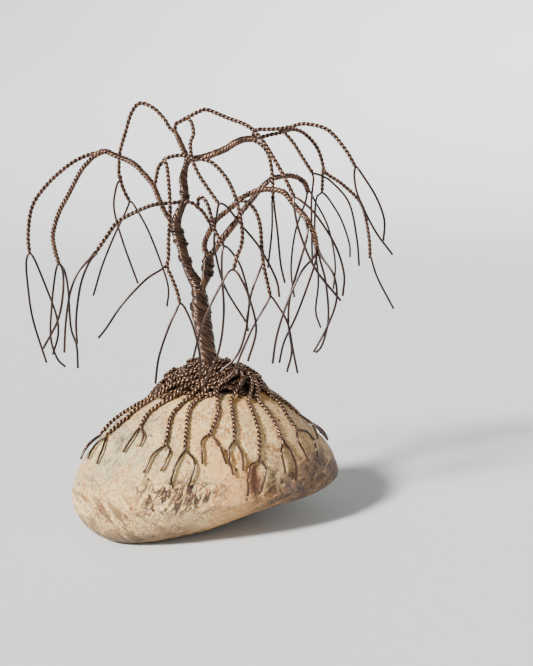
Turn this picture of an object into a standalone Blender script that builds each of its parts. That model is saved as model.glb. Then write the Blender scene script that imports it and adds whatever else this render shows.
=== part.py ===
"""Weeping tree of twisted copper wire, rooted over a pebble.

Metres, +Z up. The origin is on the ground under the trunk's foot, +X runs to the
right of the tree's front and +Y to its back.
"""
import math

import bmesh
import bpy
from mathutils import Vector
from mathutils.bvhtree import BVHTree

MM = 0.001

# One wire, the clearance between two parts, and the stub of each limb that stays on its parent, in mm
WIRE = 0.5
JOINT_GAP = 0.3
STUB = 3.5

# Stone, in mm: half sizes about its widest level, and how it lies. Its right end thins above and below,
# its left end hangs lower, and its foot sits behind its crest.
STONE_HALF_LENGTH = 29.0
STONE_HALF_WIDTH = 17.0
STONE_WAIST = 9.3
STONE_TOP = 21.05
STONE_BELLY = 11.6
STONE_CENTRE = (-0.5, -3.45)
STONE_TURN = math.radians(21.0)
STONE_SQUARENESS = 1.96
STONE_LEAN = 2.1
STONE_FOOT_SHIFT = (-1.75, 4.35)
STONE_END_RISE = 6.2
STONE_END_DROP = 1.4
STONE_HEEL = 5.4
STONE_LUMP = 0.45
# Broad swells and hollows: the way out to each from the stone's middle, and its share of the size there
STONE_SWELLS = (((1.0, 0.0, 0.1), 0.03), ((0.75, -0.1, 0.6), -0.08), ((0.8, -0.4, -0.5), 0.09),
                ((0.35, -0.6, -0.7), -0.17), ((-0.2, -0.7, -0.7), 0.02), ((-0.6, -0.6, -0.55), 0.08),
                ((-0.95, -0.2, -0.3), -0.04), ((-0.7, -0.2, 0.65), -0.05))
STONE_SWELL_REACH = 0.45
STONE_RINGS = 18
STONE_STEPS = 32

# Mat of wound roots round the trunk's foot, in mm
MAT_REACH = (12.6, 8.8)
MAT_RIM = 1.3
MAT_CLEARANCE = 1.0
MAT_TOP = 34.6
MAT_CROWN = 0.18
MAT_DOME = 0.7
MAT_RIDGE = 0.4
MAT_RIDGES = 11
MAT_RIDGE_RAMP = 3.0
MAT_SWIRL = 1.4
MAT_BED = 0.55
MAT_RINGS = 5
MAT_UNDER_SHARES = (1.0, 0.7, 0.35)
MAT_STEPS = 40

# The routes below are read from straight in front, at this distance and height
EYE = Vector((12.4, -180.0, 68.0))

STRAND_STEP = 4.4
WIRE_STEP = 5.2
TRUNK_SIDES = 2
STRAND_SIDES = 1
WIRE_SIDES = 0


def seen(across, up, depth):
    """Point at a depth behind the trunk, as it looks against the trunk's plane."""
    reach = (depth - EYE.y) / -EYE.y
    return Vector((EYE.x + (across - EYE.x) * reach, depth, EYE.z + (up - EYE.z) * reach))


# Each limb: what it leaves, its width in mm, its points (across, up, depth[, width]) and its loose tips
LIMBS = {
    "trunk": (None, 3.6, [
        (-0.1, MAT_TOP + JOINT_GAP, 0, 3.7), (-0.3, 37.5, 0, 3.6), (-0.8, 41, 0, 3.45), (-1.45, 45, 0, 4.2),
        (-1.75, 47.3, 0, 3.7), (-1.8, 49, 0, 2.9), (-2.2, 51, 0, 3.0), (-3.7, 53.5, 0, 2.3),
        (-4.9, 57, 0, 2.1), (-5.6, 60, 0, 2.5), (-6.4, 62.5, 0, 2.4), (-6.5, 64.3, 0, 2.2),
        (-5.9, 66.2, 0, 1.9), (-4.8, 68.9, 0, 1.75), (-4.7, 70.9, 0, 1.9), (-4.95, 72.8, 0, 2.0),
        (-4.6, 75, 0, 1.5), (-4.1, 77.2, 0, 1.4), (-4.9, 79.4, 0, 1.3), (-5.8, 81.5, 0, 1.2),
        (-6.5, 83, 0, 1.0)], []),
    "right_bough": ("trunk", 2.2, [
        (-1.9, 49.4, -0.2, 1.8), (-0.8, 51.7, -0.4, 1.8), (-0.15, 53.6, -0.6, 2.3),
        (0.15, 56.4, -0.8, 2.4), (0.2, 57.6, -0.8, 1.9)], []),
    "right_inner": ("right_bough", 1.3, [
        (0.2, 57.2, -0.8), (-0.6, 58.6, -0.9), (-0.6, 59.9, -1), (-0.1, 61.3, -1), (1.1, 63.6, -1)], []),
    "right_outer": ("right_bough", 1.5, [
        (0.2, 57.2, -0.8), (1.5, 58.5, -0.3), (2.4, 60, 0), (4.3, 62.3, 0.5), (5.9, 64.3, 1)], []),
    "right_middle": ("right_inner", 1.25, [
        (1.1, 63.4, -1), (1.9, 64.8, -1.2), (4, 66.5, -1.6), (6, 68.2, -2)], []),
    "left_bough": ("trunk", 1.25, [
        (-6.4, 63.5, 0, 1.5), (-7.5, 64.6, -0.3), (-8.8, 66.2, -0.6), (-10.2, 69.5, -1), (-11.25, 72, -1.2),
        (-13.2, 74.4, -1.3), (-15.4, 76.5, -1.5), (-18.9, 78, -1.8), (-21.2, 78.85, -2), (-23.5, 77.9, -2.2)],
        []),
    "left_outer_strand": ("left_bough", 1.0, [
        (-22.6, 78.5, -2.1), (-24.6, 78.1, -2.2), (-28.3, 76.3, -2.6), (-32.9, 72.5, -3), (-36.5, 67.8, -3.5),
        (-37.7, 62, -4), (-37.6, 57.7, -4.2)], [
        [(-38.35, 56, -4.6), (-38.3, 52, -5.2), (-37.5, 44, -6), (-34.9, 34.3, -6.5)],
        [(-36.5, 56.3, -3.9), (-34.3, 50.4, -3.6), (-32.4, 44.5, -3.4), (-32.2, 40.3, -3.2),
         (-33.5, 36.1, -3)]]),
    "left_inner_strand": ("left_bough", 1.05, [
        (-22.8, 78.3, -2.1), (-24.3, 77, -2.8), (-26.3, 74.7, -4), (-28.9, 70.1, -6), (-31.1, 66.2, -7.5),
        (-32.5, 61.8, -8.6), (-32.2, 58.4, -9), (-31.45, 55.5, -9.2)], [
        [(-32.3, 53.5, -9.4), (-33.2, 47.6, -9.8), (-33.8, 40, -10.2), (-32.6, 35.3, -10.3),
         (-30.85, 33.4, -10.4)],
        [(-30.7, 54, -9.6), (-30.8, 49.5, -10.8), (-32.1, 43.6, -11.6), (-35.5, 37.4, -12)],
        [(-30.3, 54, -8.6), (-29.7, 50, -8), (-29.4, 42, -7.8), (-28.3, 38, -7.6), (-28.2, 33.1, -7.5)]]),
    "top_left_strand": ("trunk", 1.1, [
        (-6.3, 82.6, 0), (-7.6, 83.6, 0.3), (-8.6, 85.3, 0.6), (-10.9, 87.6, 1), (-13.6, 88.5, 1.4),
        (-15.4, 86.6, 1.8), (-16.8, 82.5, 2.2), (-18, 78.5, 2.6), (-18.3, 74.1, 3), (-18, 73, 3.1)], [
        [(-18.9, 71.6, 3.6), (-19.5, 67, 4.5), (-17.8, 60.1, 5.6), (-14.85, 51.4, 6.2)]]),
    "low_left_strand": ("top_left_strand", 0.95, [
        (-18.1, 74.2, 3), (-17.8, 72.2, 3.1), (-17.1, 70.3, 3.2), (-16.1, 68.4, 3.3)], [
        [(-17.2, 66.2, 3.2), (-19.5, 61.7, 2.8), (-22.3, 55.2, 2.2), (-24.4, 48.8, 1.8)],
        [(-15.1, 67.5, 3.6), (-12.3, 62.2, 4.4), (-9.3, 54, 4.8), (-8.4, 50, 4.9), (-8.8, 46.5, 5)]]),
    "middle_bough": ("left_bough", 1.05, [
        (-11, 71.5, -1.2), (-10.5, 73.6, -1.9), (-10, 75.6, -2.6), (-8.5, 77.4, -3.2)], []),
    "front_left_strand": ("middle_bough", 1.05, [
        (-8.9, 77.2, -3), (-8.3, 75.6, -4), (-7.9, 70.9, -6), (-7.8, 66, -7.6), (-8.2, 61, -9),
        (-8.3, 57, -9.8), (-8.6, 54.9, -10.2), (-7.6, 52.4, -10.4), (-6.6, 49.7, -10.6), (-6, 47, -10.7)], [
        [(-6.8, 45.6, -11), (-8.4, 42.2, -11.6), (-10.7, 35.6, -12.4), (-11.6, 29.7, -12.8)],
        [(-5, 46.2, -10.6), (-3.3, 42.2, -10.8), (-2, 36.4, -11.4), (-1.85, 30.7, -11.8)]]),
    "front_left_tip": ("front_left_strand", 0.5, [
        (-8.5, 55.6, -10), (-9.8, 54.4, -10.8), (-13.3, 52.1, -12.4), (-18.3, 46.9, -14),
        (-21.8, 41.9, -14.6), (-23.6, 39.7, -14.8)], []),
    "front_middle_strand": ("middle_bough", 1.0, [
        (-8.9, 77.2, -3), (-7.2, 77.8, -3.6), (-4.6, 78, -4.2), (-1.2, 77.3, -5), (1.4, 76.3, -5.8),
        (4.4, 72.8, -7.4), (6.3, 68.1, -9), (7.2, 63.3, -10.2), (7.2, 60, -10.8), (6.1, 56.8, -11.2),
        (5.4, 54.2, -11.4)], [
        [(4.2, 53.6, -11.6), (1.1, 48, -12.4), (-1.4, 42.4, -13.2), (-3.4, 35.1, -13.8)],
        [(6.5, 53.3, -11.8), (8.6, 48.7, -12.8), (10.2, 41.6, -13.6), (8.4, 34.6, -14)]]),
    "cross_strand": ("right_inner", 1.1, [
        (1.1, 63.2, -1.1), (0.1, 64.9, -2.2), (-1.05, 66.6, -3), (-2.6, 67.9, -3.6)], []),
    "low_front_strand": ("cross_strand", 1.0, [
        (-2, 67.6, -3.4), (-3.9, 68.5, -4), (-7.2, 68.3, -5), (-11.2, 67.9, -7), (-15.3, 66.3, -9.4),
        (-18.9, 64.3, -11.4), (-21, 61.6, -12.8), (-23.65, 57.9, -14)], [
        [(-24.8, 56.8, -14.4), (-27.6, 53.5, -15.4), (-29.4, 49, -16.2), (-30.5, 42.6, -16.8),
         (-31, 36.5, -17)],
        [(-25, 56, -14), (-27, 51.2, -13.6), (-28.2, 44, -13.4), (-28.2, 38.4, -13.4)]]),
    "hook_strand": ("cross_strand", 0.95, [
        (-1.9, 67.3, -3.3), (-1.8, 69, -4), (-1.1, 69.4, -4.6), (0, 68.1, -5.4), (0.9, 65.1, -6.6),
        (1.6, 62.5, -7.6), (3.5, 59.1, -8.4)], [
        [(3, 57.6, -8.8), (2.95, 53.3, -9.6), (3.3, 44.9, -10.6), (2, 36.4, -11.6), (-1.7, 28.1, -12.2)],
        [(4.7, 58.5, -8.2), (7, 54.9, -7.8), (8.7, 48, -7.4), (8.2, 43.6, -7.2), (8.5, 41.2, -7.1)]]),
    "top_link": ("trunk", 1.05, [
        (-6.3, 82.4, 0), (-6.4, 84.2, -0.4), (-5.1, 85, -0.9), (-3.1, 86.1, -1.3)], []),
    "top_right_strand": ("top_link", 1.0, [
        (-3.9, 85.7, -1.2), (-1.6, 86.8, -1.8), (0.2, 87.2, -2.6), (4.3, 85.6, -4.4), (8.6, 83.9, -6.4),
        (11.5, 81.1, -8), (14.5, 76.4, -10), (16.4, 73, -11.2), (18.35, 69.2, -12.2)], [
        [(19.4, 68.9, -12.6), (22.6, 66, -13.6), (26.8, 59.6, -14.8), (28.8, 53.5, -15.6), (28.6, 48.7, -16)],
        [(18.2, 67.4, -12.6), (19.3, 62.4, -13.4), (22.6, 54.7, -14), (28.2, 47.7, -14.4)]]),
    "top_front_strand": ("top_link", 0.95, [
        (-3.9, 85.6, -1.2), (-3.1, 84.6, -2.4), (-2.7, 82.4, -3.8), (-3.4, 80.4, -5.2), (-3, 77.2, -6.8),
        (-1.8, 74.3, -7.4), (0, 71.5, -7.9), (2.5, 68, -8.4)], [
        [(2.1, 66.6, -7.6), (1.4, 61, -5.2), (1.7, 57.5, -4.2), (3.6, 50.6, -2.4), (8, 43.2, -0.6)],
        [(3.9, 67.7, -8.4), (7.2, 63.6, -8.4), (11, 58.9, -9.4), (14.4, 52.4, -10.2), (15.15, 48.5, -10.4)]]),
    "top_right_bough": ("trunk", 1.5, [
        (-4.2, 76.9, 0), (-2.6, 77.3, 0.6), (0.4, 78, 1.4), (3.8, 79.3, 2), (7, 81.1, 2.4), (10.2, 81.5, 2.7)],
        []),
    "rim_link_high": ("top_right_bough", 0.95, [
        (9.3, 81.4, 2.6), (10.2, 83.1, 2), (12.6, 83.3, 2), (15, 83.4, 2.2)], []),
    "rim_link_low": ("top_right_bough", 0.95, [
        (9.3, 81.4, 2.6), (11.2, 81.7, 3.1), (13.2, 82.2, 3.3), (15.2, 82.6, 2.9), (17.2, 83.5, 2.4)], []),
    "right_outer_strand": ("rim_link_low", 1.0, [
        (16, 82.9, 2.6), (17.8, 83.9, 2.2), (20.5, 84.4, 1.6), (25, 83.2, 0.4), (28.6, 79.4, -0.8),
        (31, 75.5, -1.6)], [
        [(30.7, 73.5, -1.6), (31.6, 69.6, -1.6), (35.1, 62.7, -1.8), (39, 57.5, -2)],
        [(31.9, 74.7, -2), (35.2, 69.7, -3), (37.1, 64.8, -3.6), (37, 60.4, -4)]]),
    "right_inner_strand": ("rim_link_low", 1.0, [
        (16, 82.8, 2.7), (18, 80.5, 3.2), (20, 77.4, 3.8), (22.15, 74.2, 4.4)], [
        [(23.6, 74, 4.4), (26.1, 72.5, 4.2), (29.7, 68.2, 4), (31.4, 61, 3.6), (32, 55.1, 3.4)],
        [(22.2, 73.2, 4.8), (21.8, 68.6, 5.4), (21.9, 62.5, 6.2), (22.1, 55.6, 6.8)]]),
    "right_front_strand": ("top_right_bough", 0.95, [
        (9.4, 81.2, 2.6), (11.2, 80.2, 1.6), (12.8, 78.1, 0.4), (13.6, 74, -1), (13.75, 68.6, -2.2)], [
        [(13.6, 66.4, -2.6), (13.5, 62, -3.4), (12.7, 54.7, -4)],
        [(14.1, 67, -2), (14.7, 62.4, -1.4), (15.4, 55.6, -1), (16.3, 51.5, -0.8)]]),
    "back_right_strand": ("rim_link_low", 1.0, [
        (16, 82.9, 2.6), (18.2, 83.3, 3.6), (20.5, 82.3, 5.2), (22.9, 79.6, 6.8), (24.1, 76.2, 8),
        (24.2, 74.2, 8.6)], []),
    "back_outer_strand": ("back_right_strand", 1.0, [
        (24.2, 75.2, 8.3), (25.2, 74.1, 8.9), (28.5, 71.9, 9.8), (32.3, 67.9, 10.8), (33.9, 61.5, 11.6),
        (34.3, 56.8, 12)], [
        [(34.9, 55.4, 12.2), (36.2, 52, 12.6), (39.5, 46, 13)]]),
    "back_inner_strand": ("back_right_strand", 1.0, [
        (24.2, 75.2, 8.3), (24.1, 73, 10), (24, 70.3, 11.4)], [
        [(22.7, 68.6, 12), (22.6, 60, 13.4), (23.4, 52, 14.2), (22.9, 45.6, 14.8), (24, 41.9, 15)],
        [(25.2, 69.4, 12), (28, 65, 13), (29.8, 60, 13.6), (30.05, 57, 13.8)]]),
    "back_bough": ("right_outer", 1.3, [
        (5.7, 63.9, 0.9), (6.9, 66, 2.4), (9.5, 69.2, 5), (12.5, 72.6, 8), (15, 73.7, 9.6),
        (18, 73.8, 11.2), (20.2, 72.6, 12.4), (21.2, 70.4, 13.2)], [
        [(20.5, 68.4, 13.8), (18.4, 62, 15.2), (17.6, 54.5, 16), (18.3, 48.5, 16.4)],
        [(22.3, 69.1, 13.6), (25.3, 63.4, 14.8), (26.9, 56, 15.6), (26.6, 50.2, 16)]]),
    "front_right_bough": ("right_middle", 1.25, [
        (5.6, 67.9, -2), (7.2, 69.3, -2.6), (9.9, 70.6, -3.4), (12.5, 71.1, -4.2), (15.9, 70.5, -5.2),
        (18, 68.1, -6.2), (20.4, 65.4, -7.2)], []),
    "front_right_twig": ("front_right_bough", 0.5, [
        (19.6, 66.3, -6.9), (20.7, 64, -8), (21, 61.6, -9.2), (19.4, 55.7, -9.6), (17.4, 48.4, -9),
        (17.1, 42.5, -8.4), (17.8, 36.8, -8), (16.8, 32.3, -7.8)], []),
    "front_right_strand": ("front_right_bough", 1.2, [
        (19.2, 66.8, -6.7), (20.7, 65.2, -7.2), (22.3, 62, -7.6), (23.1, 58.6, -8)], [
        [(22.4, 56.9, -8.8), (19.8, 53.9, -10.4), (16.8, 47.2, -11.6), (14.6, 40.1, -12.4),
         (13.7, 34.1, -12.8)],
        [(23.6, 56.8, -7.8), (25, 51.5, -7.4), (25.6, 43.9, -6.8), (24.4, 38.3, -6.4), (23, 36.5, -6.2)],
        [(22.9, 56.6, -7.4), (21.5, 52, -5.6), (18.8, 44.6, -3.8), (16.2, 38.9, -3), (15.15, 34.3, -2.6)],
        [(24.2, 56.8, -9), (26.7, 53, -11), (27.3, 48, -11.8), (25.5, 42.4, -12.4), (22.5, 36.6, -13)]]),
    "right_low_strand": ("right_middle", 1.05, [
        (5.5, 67.8, -1.9), (7.3, 68.7, -3.2), (9.6, 67.3, -4.4), (11, 63.9, -5.8), (11.4, 59, -7.2),
        (11.8, 55.2, -8), (12.6, 51.5, -8.6), (13.3, 48.4, -9)], [
        [(12.5, 47.2, -9.4), (9.6, 42.2, -10.4), (7.2, 36.8, -11), (5.1, 32.1, -11.4), (1.8, 29.7, -11.6)],
        [(14.4, 47.3, -9), (16.9, 42.9, -9.4), (18.2, 36.5, -9.8), (19.1, 32, -10)]]),
    "right_low_tip": ("right_low_strand", 0.5, [
        (11.7, 55.8, -7.9), (10.6, 53.2, -8.8), (9, 48.6, -9.8), (8, 41.4, -10.4), (6, 35.8, -10.9),
        (2, 32, -11.2)], []),
}

# Each root: where it shows over the stone (across, up), and the routes of its two loose ends. A third
# number is the depth of a point that lies on or behind the stone's skyline.
FRONT_ROOTS = [
    ([(-8.5, 30.2, 2.5), (-13, 28.9, 1), (-16.6, 27, -2), (-20.5, 23, -5.5), (-24.2, 19, -8)],
     [(-28.2, 14.2, -10)], [(-26.9, 15.4, -10.5), (-28.4, 12.9, -11.5)]),
    ([(-8, 27.6), (-12.4, 25.8), (-17.6, 21.8), (-22.2, 17.8)],
     [(-24.3, 15.9), (-26.3, 12.7)], [(-23, 14.9), (-24.4, 11.6)]),
    ([(-6.4, 26.8), (-10.4, 24.9), (-13.2, 22.6), (-14.9, 19.8)],
     [(-16.6, 17.3), (-18.7, 14.2)], [(-14.1, 17.8), (-15, 15.5)]),
    ([(-3.6, 26.6), (-6, 24.8), (-8.3, 21.8), (-9, 18.5), (-9.6, 15.8)],
     [(-12.3, 13.7), (-14.4, 9.7)], [(-8.7, 14.2), (-10.7, 10.1)]),
    ([(-1.2, 26.8), (-3.9, 24.6), (-4.7, 22), (-5.1, 18.5), (-5.4, 14.6)],
     [(-7.5, 11.3), (-8.8, 7)], [(-3.4, 12), (-4.8, 6.7)]),
    ([(0.8, 27), (2, 24.4), (1.2, 21.4), (0, 18.2)],
     [(-1.8, 16.6), (-1.7, 11.7)], [(1.8, 16.1), (3.4, 11.8)]),
    ([(4.4, 28), (4.6, 25), (5.2, 20.7), (5.3, 16.8)],
     [(3.8, 14), (5, 9.2)], [(6.9, 13.6), (7.1, 10.2)]),
    ([(7.2, 28.2), (8.2, 25.4), (10.3, 19.6), (10.5, 12.5)],
     [(8.3, 10.6), (8, 4.6)], [(11.9, 10.6), (10.6, 5.2)]),
    ([(8.8, 28), (10.6, 25.3), (14, 20.7), (15.9, 16.6)],
     [(15.3, 14), (16.2, 9.7)], [(18, 13), (18.5, 8)]),
    ([(10, 28.4), (13.9, 25.9), (16.6, 22.3), (18.8, 19.2)],
     [(19, 16.6), (21.2, 12.3)], [(21.2, 18.4), (23.3, 13.2)]),
    ([(11, 29.8), (14.8, 28, 0), (19.2, 23.7, 1.5)],
     [(21.4, 20.2, 1.5), (23.2, 17.2)], [(23.2, 20.6, 4.5), (26.2, 17.6, 5)]),
    ([(11, 31, 3), (14.4, 29.8, 5), (17.6, 27.6, 7), (21, 24.6, 9), (22.7, 23.3, 9.5)],
     [(24.3, 22.5, 10.5), (25.7, 20.6, 10.5)], [(25, 20.8, 9), (27.4, 18.3, 8.5)]),
]
ROOT_WIDTH = 0.95
ROOT_STEP = 1.4
ROOT_TIP_STEP = 2.5

# Roots out of sight run down the back. Each leaves the mat at one bearing about the trunk, in degrees
# from +X, and comes down the stone at another about the stone's middle.
BACK_ROOTS = ((33, 46), (52, 60), (71, 74), (90, 90), (110, 110), (134, 134), (158, 158))
BACK_ROOT_FALLS = (46, 60, 70)
BACK_FORK_SPREAD = 6.0
BACK_TIP_FALL = 86.0

COPPER = (0.115, 0.052, 0.030)
TRUNK_COPPER = (0.090, 0.047, 0.030)
ROOT_COPPER = (0.150, 0.068, 0.038)
STONE_COLOUR = (0.560, 0.400, 0.260)


def clear_scene():
    for thing in list(bpy.data.objects):
        bpy.data.objects.remove(thing, do_unlink=True)


def material(name, colour, roughness, metallic):
    made = bpy.data.materials.new(name)
    made.use_nodes = True
    shader = made.node_tree.nodes["Principled BSDF"]
    shader.inputs["Base Color"].default_value = (*colour, 1.0)
    shader.inputs["Roughness"].default_value = roughness
    shader.inputs["Metallic"].default_value = metallic
    return made


def lumps(a, b, c):
    """Low swells of a worn pebble, from the direction out of its middle."""
    return (0.5 * math.sin(2.6 * a + 1.3 * b + 0.4) + 0.35 * math.sin(4.1 * b - 2.2 * c + 1.7)
            + 0.25 * math.sin(5.3 * c + 3.4 * a - 0.6))


def swells(out):
    """Share by which the stone is fuller one way out of its middle."""
    return sum(share * math.exp(-(out - Vector(way).normalized()).length_squared / STONE_SWELL_REACH ** 2)
               for way, share in STONE_SWELLS)


def stone_point(bearing, fall):
    """Surface of the stone at a bearing about its middle and a fall from straight up."""
    a = math.sin(fall) * math.cos(bearing - STONE_TURN)
    b = math.sin(fall) * math.sin(bearing - STONE_TURN)
    c = math.cos(fall)
    n = STONE_SQUARENESS
    size = (abs(a) ** n + abs(b) ** n + abs(c) ** n) ** (-1.0 / n)
    bulge = size * (1.0 + STONE_LUMP * lumps(a, b, c) / STONE_TOP + swells(Vector((a, b, c))))
    right = max(0.0, a * size)
    left = max(0.0, -a * size)
    along = a * STONE_HALF_LENGTH * bulge
    across = b * STONE_HALF_WIDTH * bulge
    if c > 0.0:
        height = STONE_TOP - STONE_END_DROP * right * right
        along += STONE_LEAN * c
    else:
        height = STONE_BELLY - STONE_END_RISE * right * right + STONE_HEEL * left * left
        along -= STONE_FOOT_SHIFT[0] * c
        across -= STONE_FOOT_SHIFT[1] * c
    x = STONE_CENTRE[0] + along * math.cos(STONE_TURN) - across * math.sin(STONE_TURN)
    y = STONE_CENTRE[1] + along * math.sin(STONE_TURN) + across * math.cos(STONE_TURN)
    z = STONE_WAIST + c * height * bulge
    return Vector((x, y, max(z, 0.0)))


def finish_mesh(name, made, surface, collection):
    mesh = bpy.data.meshes.new(name)
    bmesh.ops.scale(made, vec=(MM, MM, MM), verts=made.verts)
    made.to_mesh(mesh)
    made.free()
    mesh.materials.append(surface)
    mesh.shade_smooth()
    thing = bpy.data.objects.new(name, mesh)
    collection.objects.link(thing)
    return thing


def stone_shape():
    """The pebble, as a ball whose every point is moved out to the stone's own form."""
    made = bmesh.new()
    bmesh.ops.create_uvsphere(made, u_segments=STONE_STEPS, v_segments=STONE_RINGS, radius=1.0)
    for vertex in made.verts:
        a, b, c = vertex.co
        vertex.co = stone_point(math.atan2(b, a) + STONE_TURN, math.acos(max(-1.0, min(1.0, c))))
    return made


def smooth_route(points, step):
    """Points every step along a smooth curve through a route of (place, width) pairs."""
    places = [Vector(place) for place, width in points]
    widths = [width for place, width in points]
    ends = [2 * places[0] - places[1]] + places + [2 * places[-1] - places[-2]]
    route = []
    for i in range(len(places) - 1):
        before, start, stop, after = ends[i:i + 4]
        count = max(1, math.ceil((stop - start).length / step))
        for k in range(count):
            t = k / count
            place = 0.5 * (2 * start + (stop - before) * t + (2 * before - 5 * start + 4 * stop - after) * t * t
                           + (3 * start - before - 3 * stop + after) * t ** 3)
            route.append((place, widths[i] + (widths[i + 1] - widths[i]) * t))
    route.append((places[-1], widths[-1]))
    return route


def part_of(route, start, stop):
    """The stretch of a sampled route between two lengths along it."""
    kept = []
    run = 0.0
    for (place, width), (ahead, next_width) in zip(route, route[1:]):
        span = (ahead - place).length
        for cut in (start, stop):
            if run < cut < run + span:
                share = (cut - run) / span
                kept.append((cut, place.lerp(ahead, share), width + (next_width - width) * share))
        if start <= run <= stop:
            kept.append((run, place, width))
        run += span
    if start <= run <= stop:
        kept.append((run, *route[-1]))
    kept.sort(key=lambda item: item[0])
    return [(place, width) for _, place, width in kept]


def length_of(route):
    return sum((ahead[0] - place[0]).length for place, ahead in zip(route, route[1:]))


def tube(name, route, sides, collection):
    """A closed tube along a sampled route, as a mesh object in mm."""
    curve = bpy.data.curves.new(name, "CURVE")
    curve.dimensions = "3D"
    curve.bevel_depth = 1.0
    curve.bevel_resolution = sides
    curve.use_fill_caps = True
    spline = curve.splines.new("POLY")
    spline.points.add(len(route) - 1)
    for point, (place, width) in zip(spline.points, route):
        point.co = (*place, 1.0)
        point.radius = width / 2
    guide = bpy.data.objects.new(name + "_guide", curve)
    collection.objects.link(guide)
    bpy.context.view_layer.update()
    mesh = bpy.data.meshes.new_from_object(guide.evaluated_get(bpy.context.evaluated_depsgraph_get()))
    bpy.data.objects.remove(guide)
    made = bmesh.new()
    made.from_mesh(mesh)
    bmesh.ops.remove_doubles(made, verts=made.verts, dist=1e-5)
    bmesh.ops.recalc_face_normals(made, faces=made.faces)
    made.to_mesh(mesh)
    made.free()
    thing = bpy.data.objects.new(name, mesh)
    collection.objects.link(thing)
    return thing


def fuse(name, tubes, surface, collection):
    """Joins overlapping tubes into the first of them and brings the result to metres."""
    body = tubes[0]
    others = bpy.data.collections.new("joined")
    for other in tubes[1:]:
        others.objects.link(other)
    if len(tubes) > 1:
        joint = body.modifiers.new("join", "BOOLEAN")
        joint.operation = "UNION"
        joint.solver = "EXACT"
        joint.use_self = True
        joint.operand_type = "COLLECTION"
        joint.collection = others
    bpy.context.view_layer.update()
    mesh = bpy.data.meshes.new_from_object(body.evaluated_get(bpy.context.evaluated_depsgraph_get()))
    for other in tubes:
        bpy.data.objects.remove(other)
    bpy.data.collections.remove(others)
    made = bmesh.new()
    made.from_mesh(mesh)
    bmesh.ops.remove_doubles(made, verts=made.verts, dist=1e-4)
    bpy.data.meshes.remove(mesh)
    return finish_mesh(name, made, surface, collection)


def limb_route(name):
    leaves, width, points, tips = LIMBS[name]
    step = STRAND_STEP if width > WIRE * 1.5 else WIRE_STEP
    return smooth_route([(seen(*point[:3]), point[3] if len(point) > 3 else width) for point in points], step)


def loose_end(strand, places):
    """The places of a loose wire, starting beside the strand's axis just inside its end."""
    end = strand[-1][0]
    onward = (end - strand[-2][0]).normalized()
    aside = places[0] - end
    aside = (aside - onward * aside.dot(onward)).normalized() * WIRE * 0.4
    return [end - onward * WIRE * 2.2 + aside * 0.6, end - onward * WIRE * 0.2 + aside, *places]


def build_limbs(surfaces, collection):
    """Every limb with its loose tips, and the first stretch of each limb that leaves it."""
    for name, (leaves, width, points, tips) in LIMBS.items():
        route = limb_route(name)
        sides = STRAND_SIDES if width > WIRE * 1.5 else WIRE_SIDES
        own = route if leaves is None else part_of(route, STUB + JOINT_GAP, length_of(route))
        if name == "trunk":
            sides = TRUNK_SIDES
        pieces = [tube(name, own, sides, collection)]
        for other, (parent, other_width, _, _) in LIMBS.items():
            if parent == name:
                stub_sides = STRAND_SIDES if other_width > WIRE * 1.5 else WIRE_SIDES
                start = part_of(limb_route(other), 0.0, STUB)
                pieces.append(tube(other + "_stub", start, stub_sides, collection))
        for number, tip in enumerate(tips):
            places = loose_end(route, [seen(*point) for point in tip])
            path = smooth_route([(place, WIRE) for place in places], WIRE_STEP)
            pieces.append(tube(f"{name}_tip_{number}", path, WIRE_SIDES, collection))
        fuse(name, pieces, surfaces["trunk" if name == "trunk" else "copper"], collection)


def lay(route, ground):
    """Moves each point of a sampled route out to rest just over the stone."""
    laid = []
    for place, width in route:
        foot, normal, _, _ = ground.find_nearest(place)
        laid.append((foot + normal * (width / 2 + JOINT_GAP), width))
    return laid


def clear_of_mat(route):
    """A root's route from where it comes out past the mat's rim."""
    return [item for item in route
            if math.hypot(item[0].x / (MAT_REACH[0] + MAT_CLEARANCE),
                          item[0].y / (MAT_REACH[1] + MAT_CLEARANCE)) > 1.0]


def shown_on(ground, across, up, depth=None):
    """Where the line of sight through a point of the trunk's plane meets the stone. With a depth, or when
    it passes the stone by, the place on the stone nearest to the point seen there."""
    if depth is None:
        foot = ground.ray_cast(EYE, (Vector((across, 0.0, up)) - EYE).normalized())[0]
        if foot is not None:
            return foot
        depth = STONE_CENTRE[1]
    return ground.find_nearest(seen(across, up, depth))[0]


def build_root(name, stem, tips, ground, surface, collection):
    route = clear_of_mat(lay(smooth_route([(place, ROOT_WIDTH) for place in stem], ROOT_STEP), ground))
    pieces = [tube(name, route[::2] if len(route) % 2 else route[::2] + route[-1:], STRAND_SIDES, collection)]
    for number, tip in enumerate(tips):
        path = lay(smooth_route([(place, WIRE) for place in loose_end(route, tip)], ROOT_TIP_STEP), ground)
        pieces.append(tube(f"{name}_tip_{number}", path, WIRE_SIDES, collection))
    return fuse(name, pieces, surface, collection)


def build_roots(ground, surface, collection):
    for number, (stem, *tips) in enumerate(FRONT_ROOTS):
        places = [shown_on(ground, *point) for point in stem]
        ends = [[shown_on(ground, *point) for point in tip] for tip in tips]
        build_root(f"front_root_{number + 1}", places, ends, ground, surface, collection)
    for number, (leaving, bearing) in enumerate(BACK_ROOTS):
        turn = math.radians(bearing)
        out = Vector((MAT_REACH[0] * math.cos(math.radians(leaving)),
                      MAT_REACH[1] * math.sin(math.radians(leaving)), STONE_WAIST + STONE_TOP))
        places = [ground.find_nearest(out)[0]]
        places += [stone_point(turn, math.radians(fall)) for fall in BACK_ROOT_FALLS]
        ends = [[stone_point(turn + side * math.radians(BACK_FORK_SPREAD), math.radians(BACK_TIP_FALL))]
                for side in (-1, 1)]
        build_root(f"back_root_{number + 1}", places, ends, ground, surface, collection)


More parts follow.
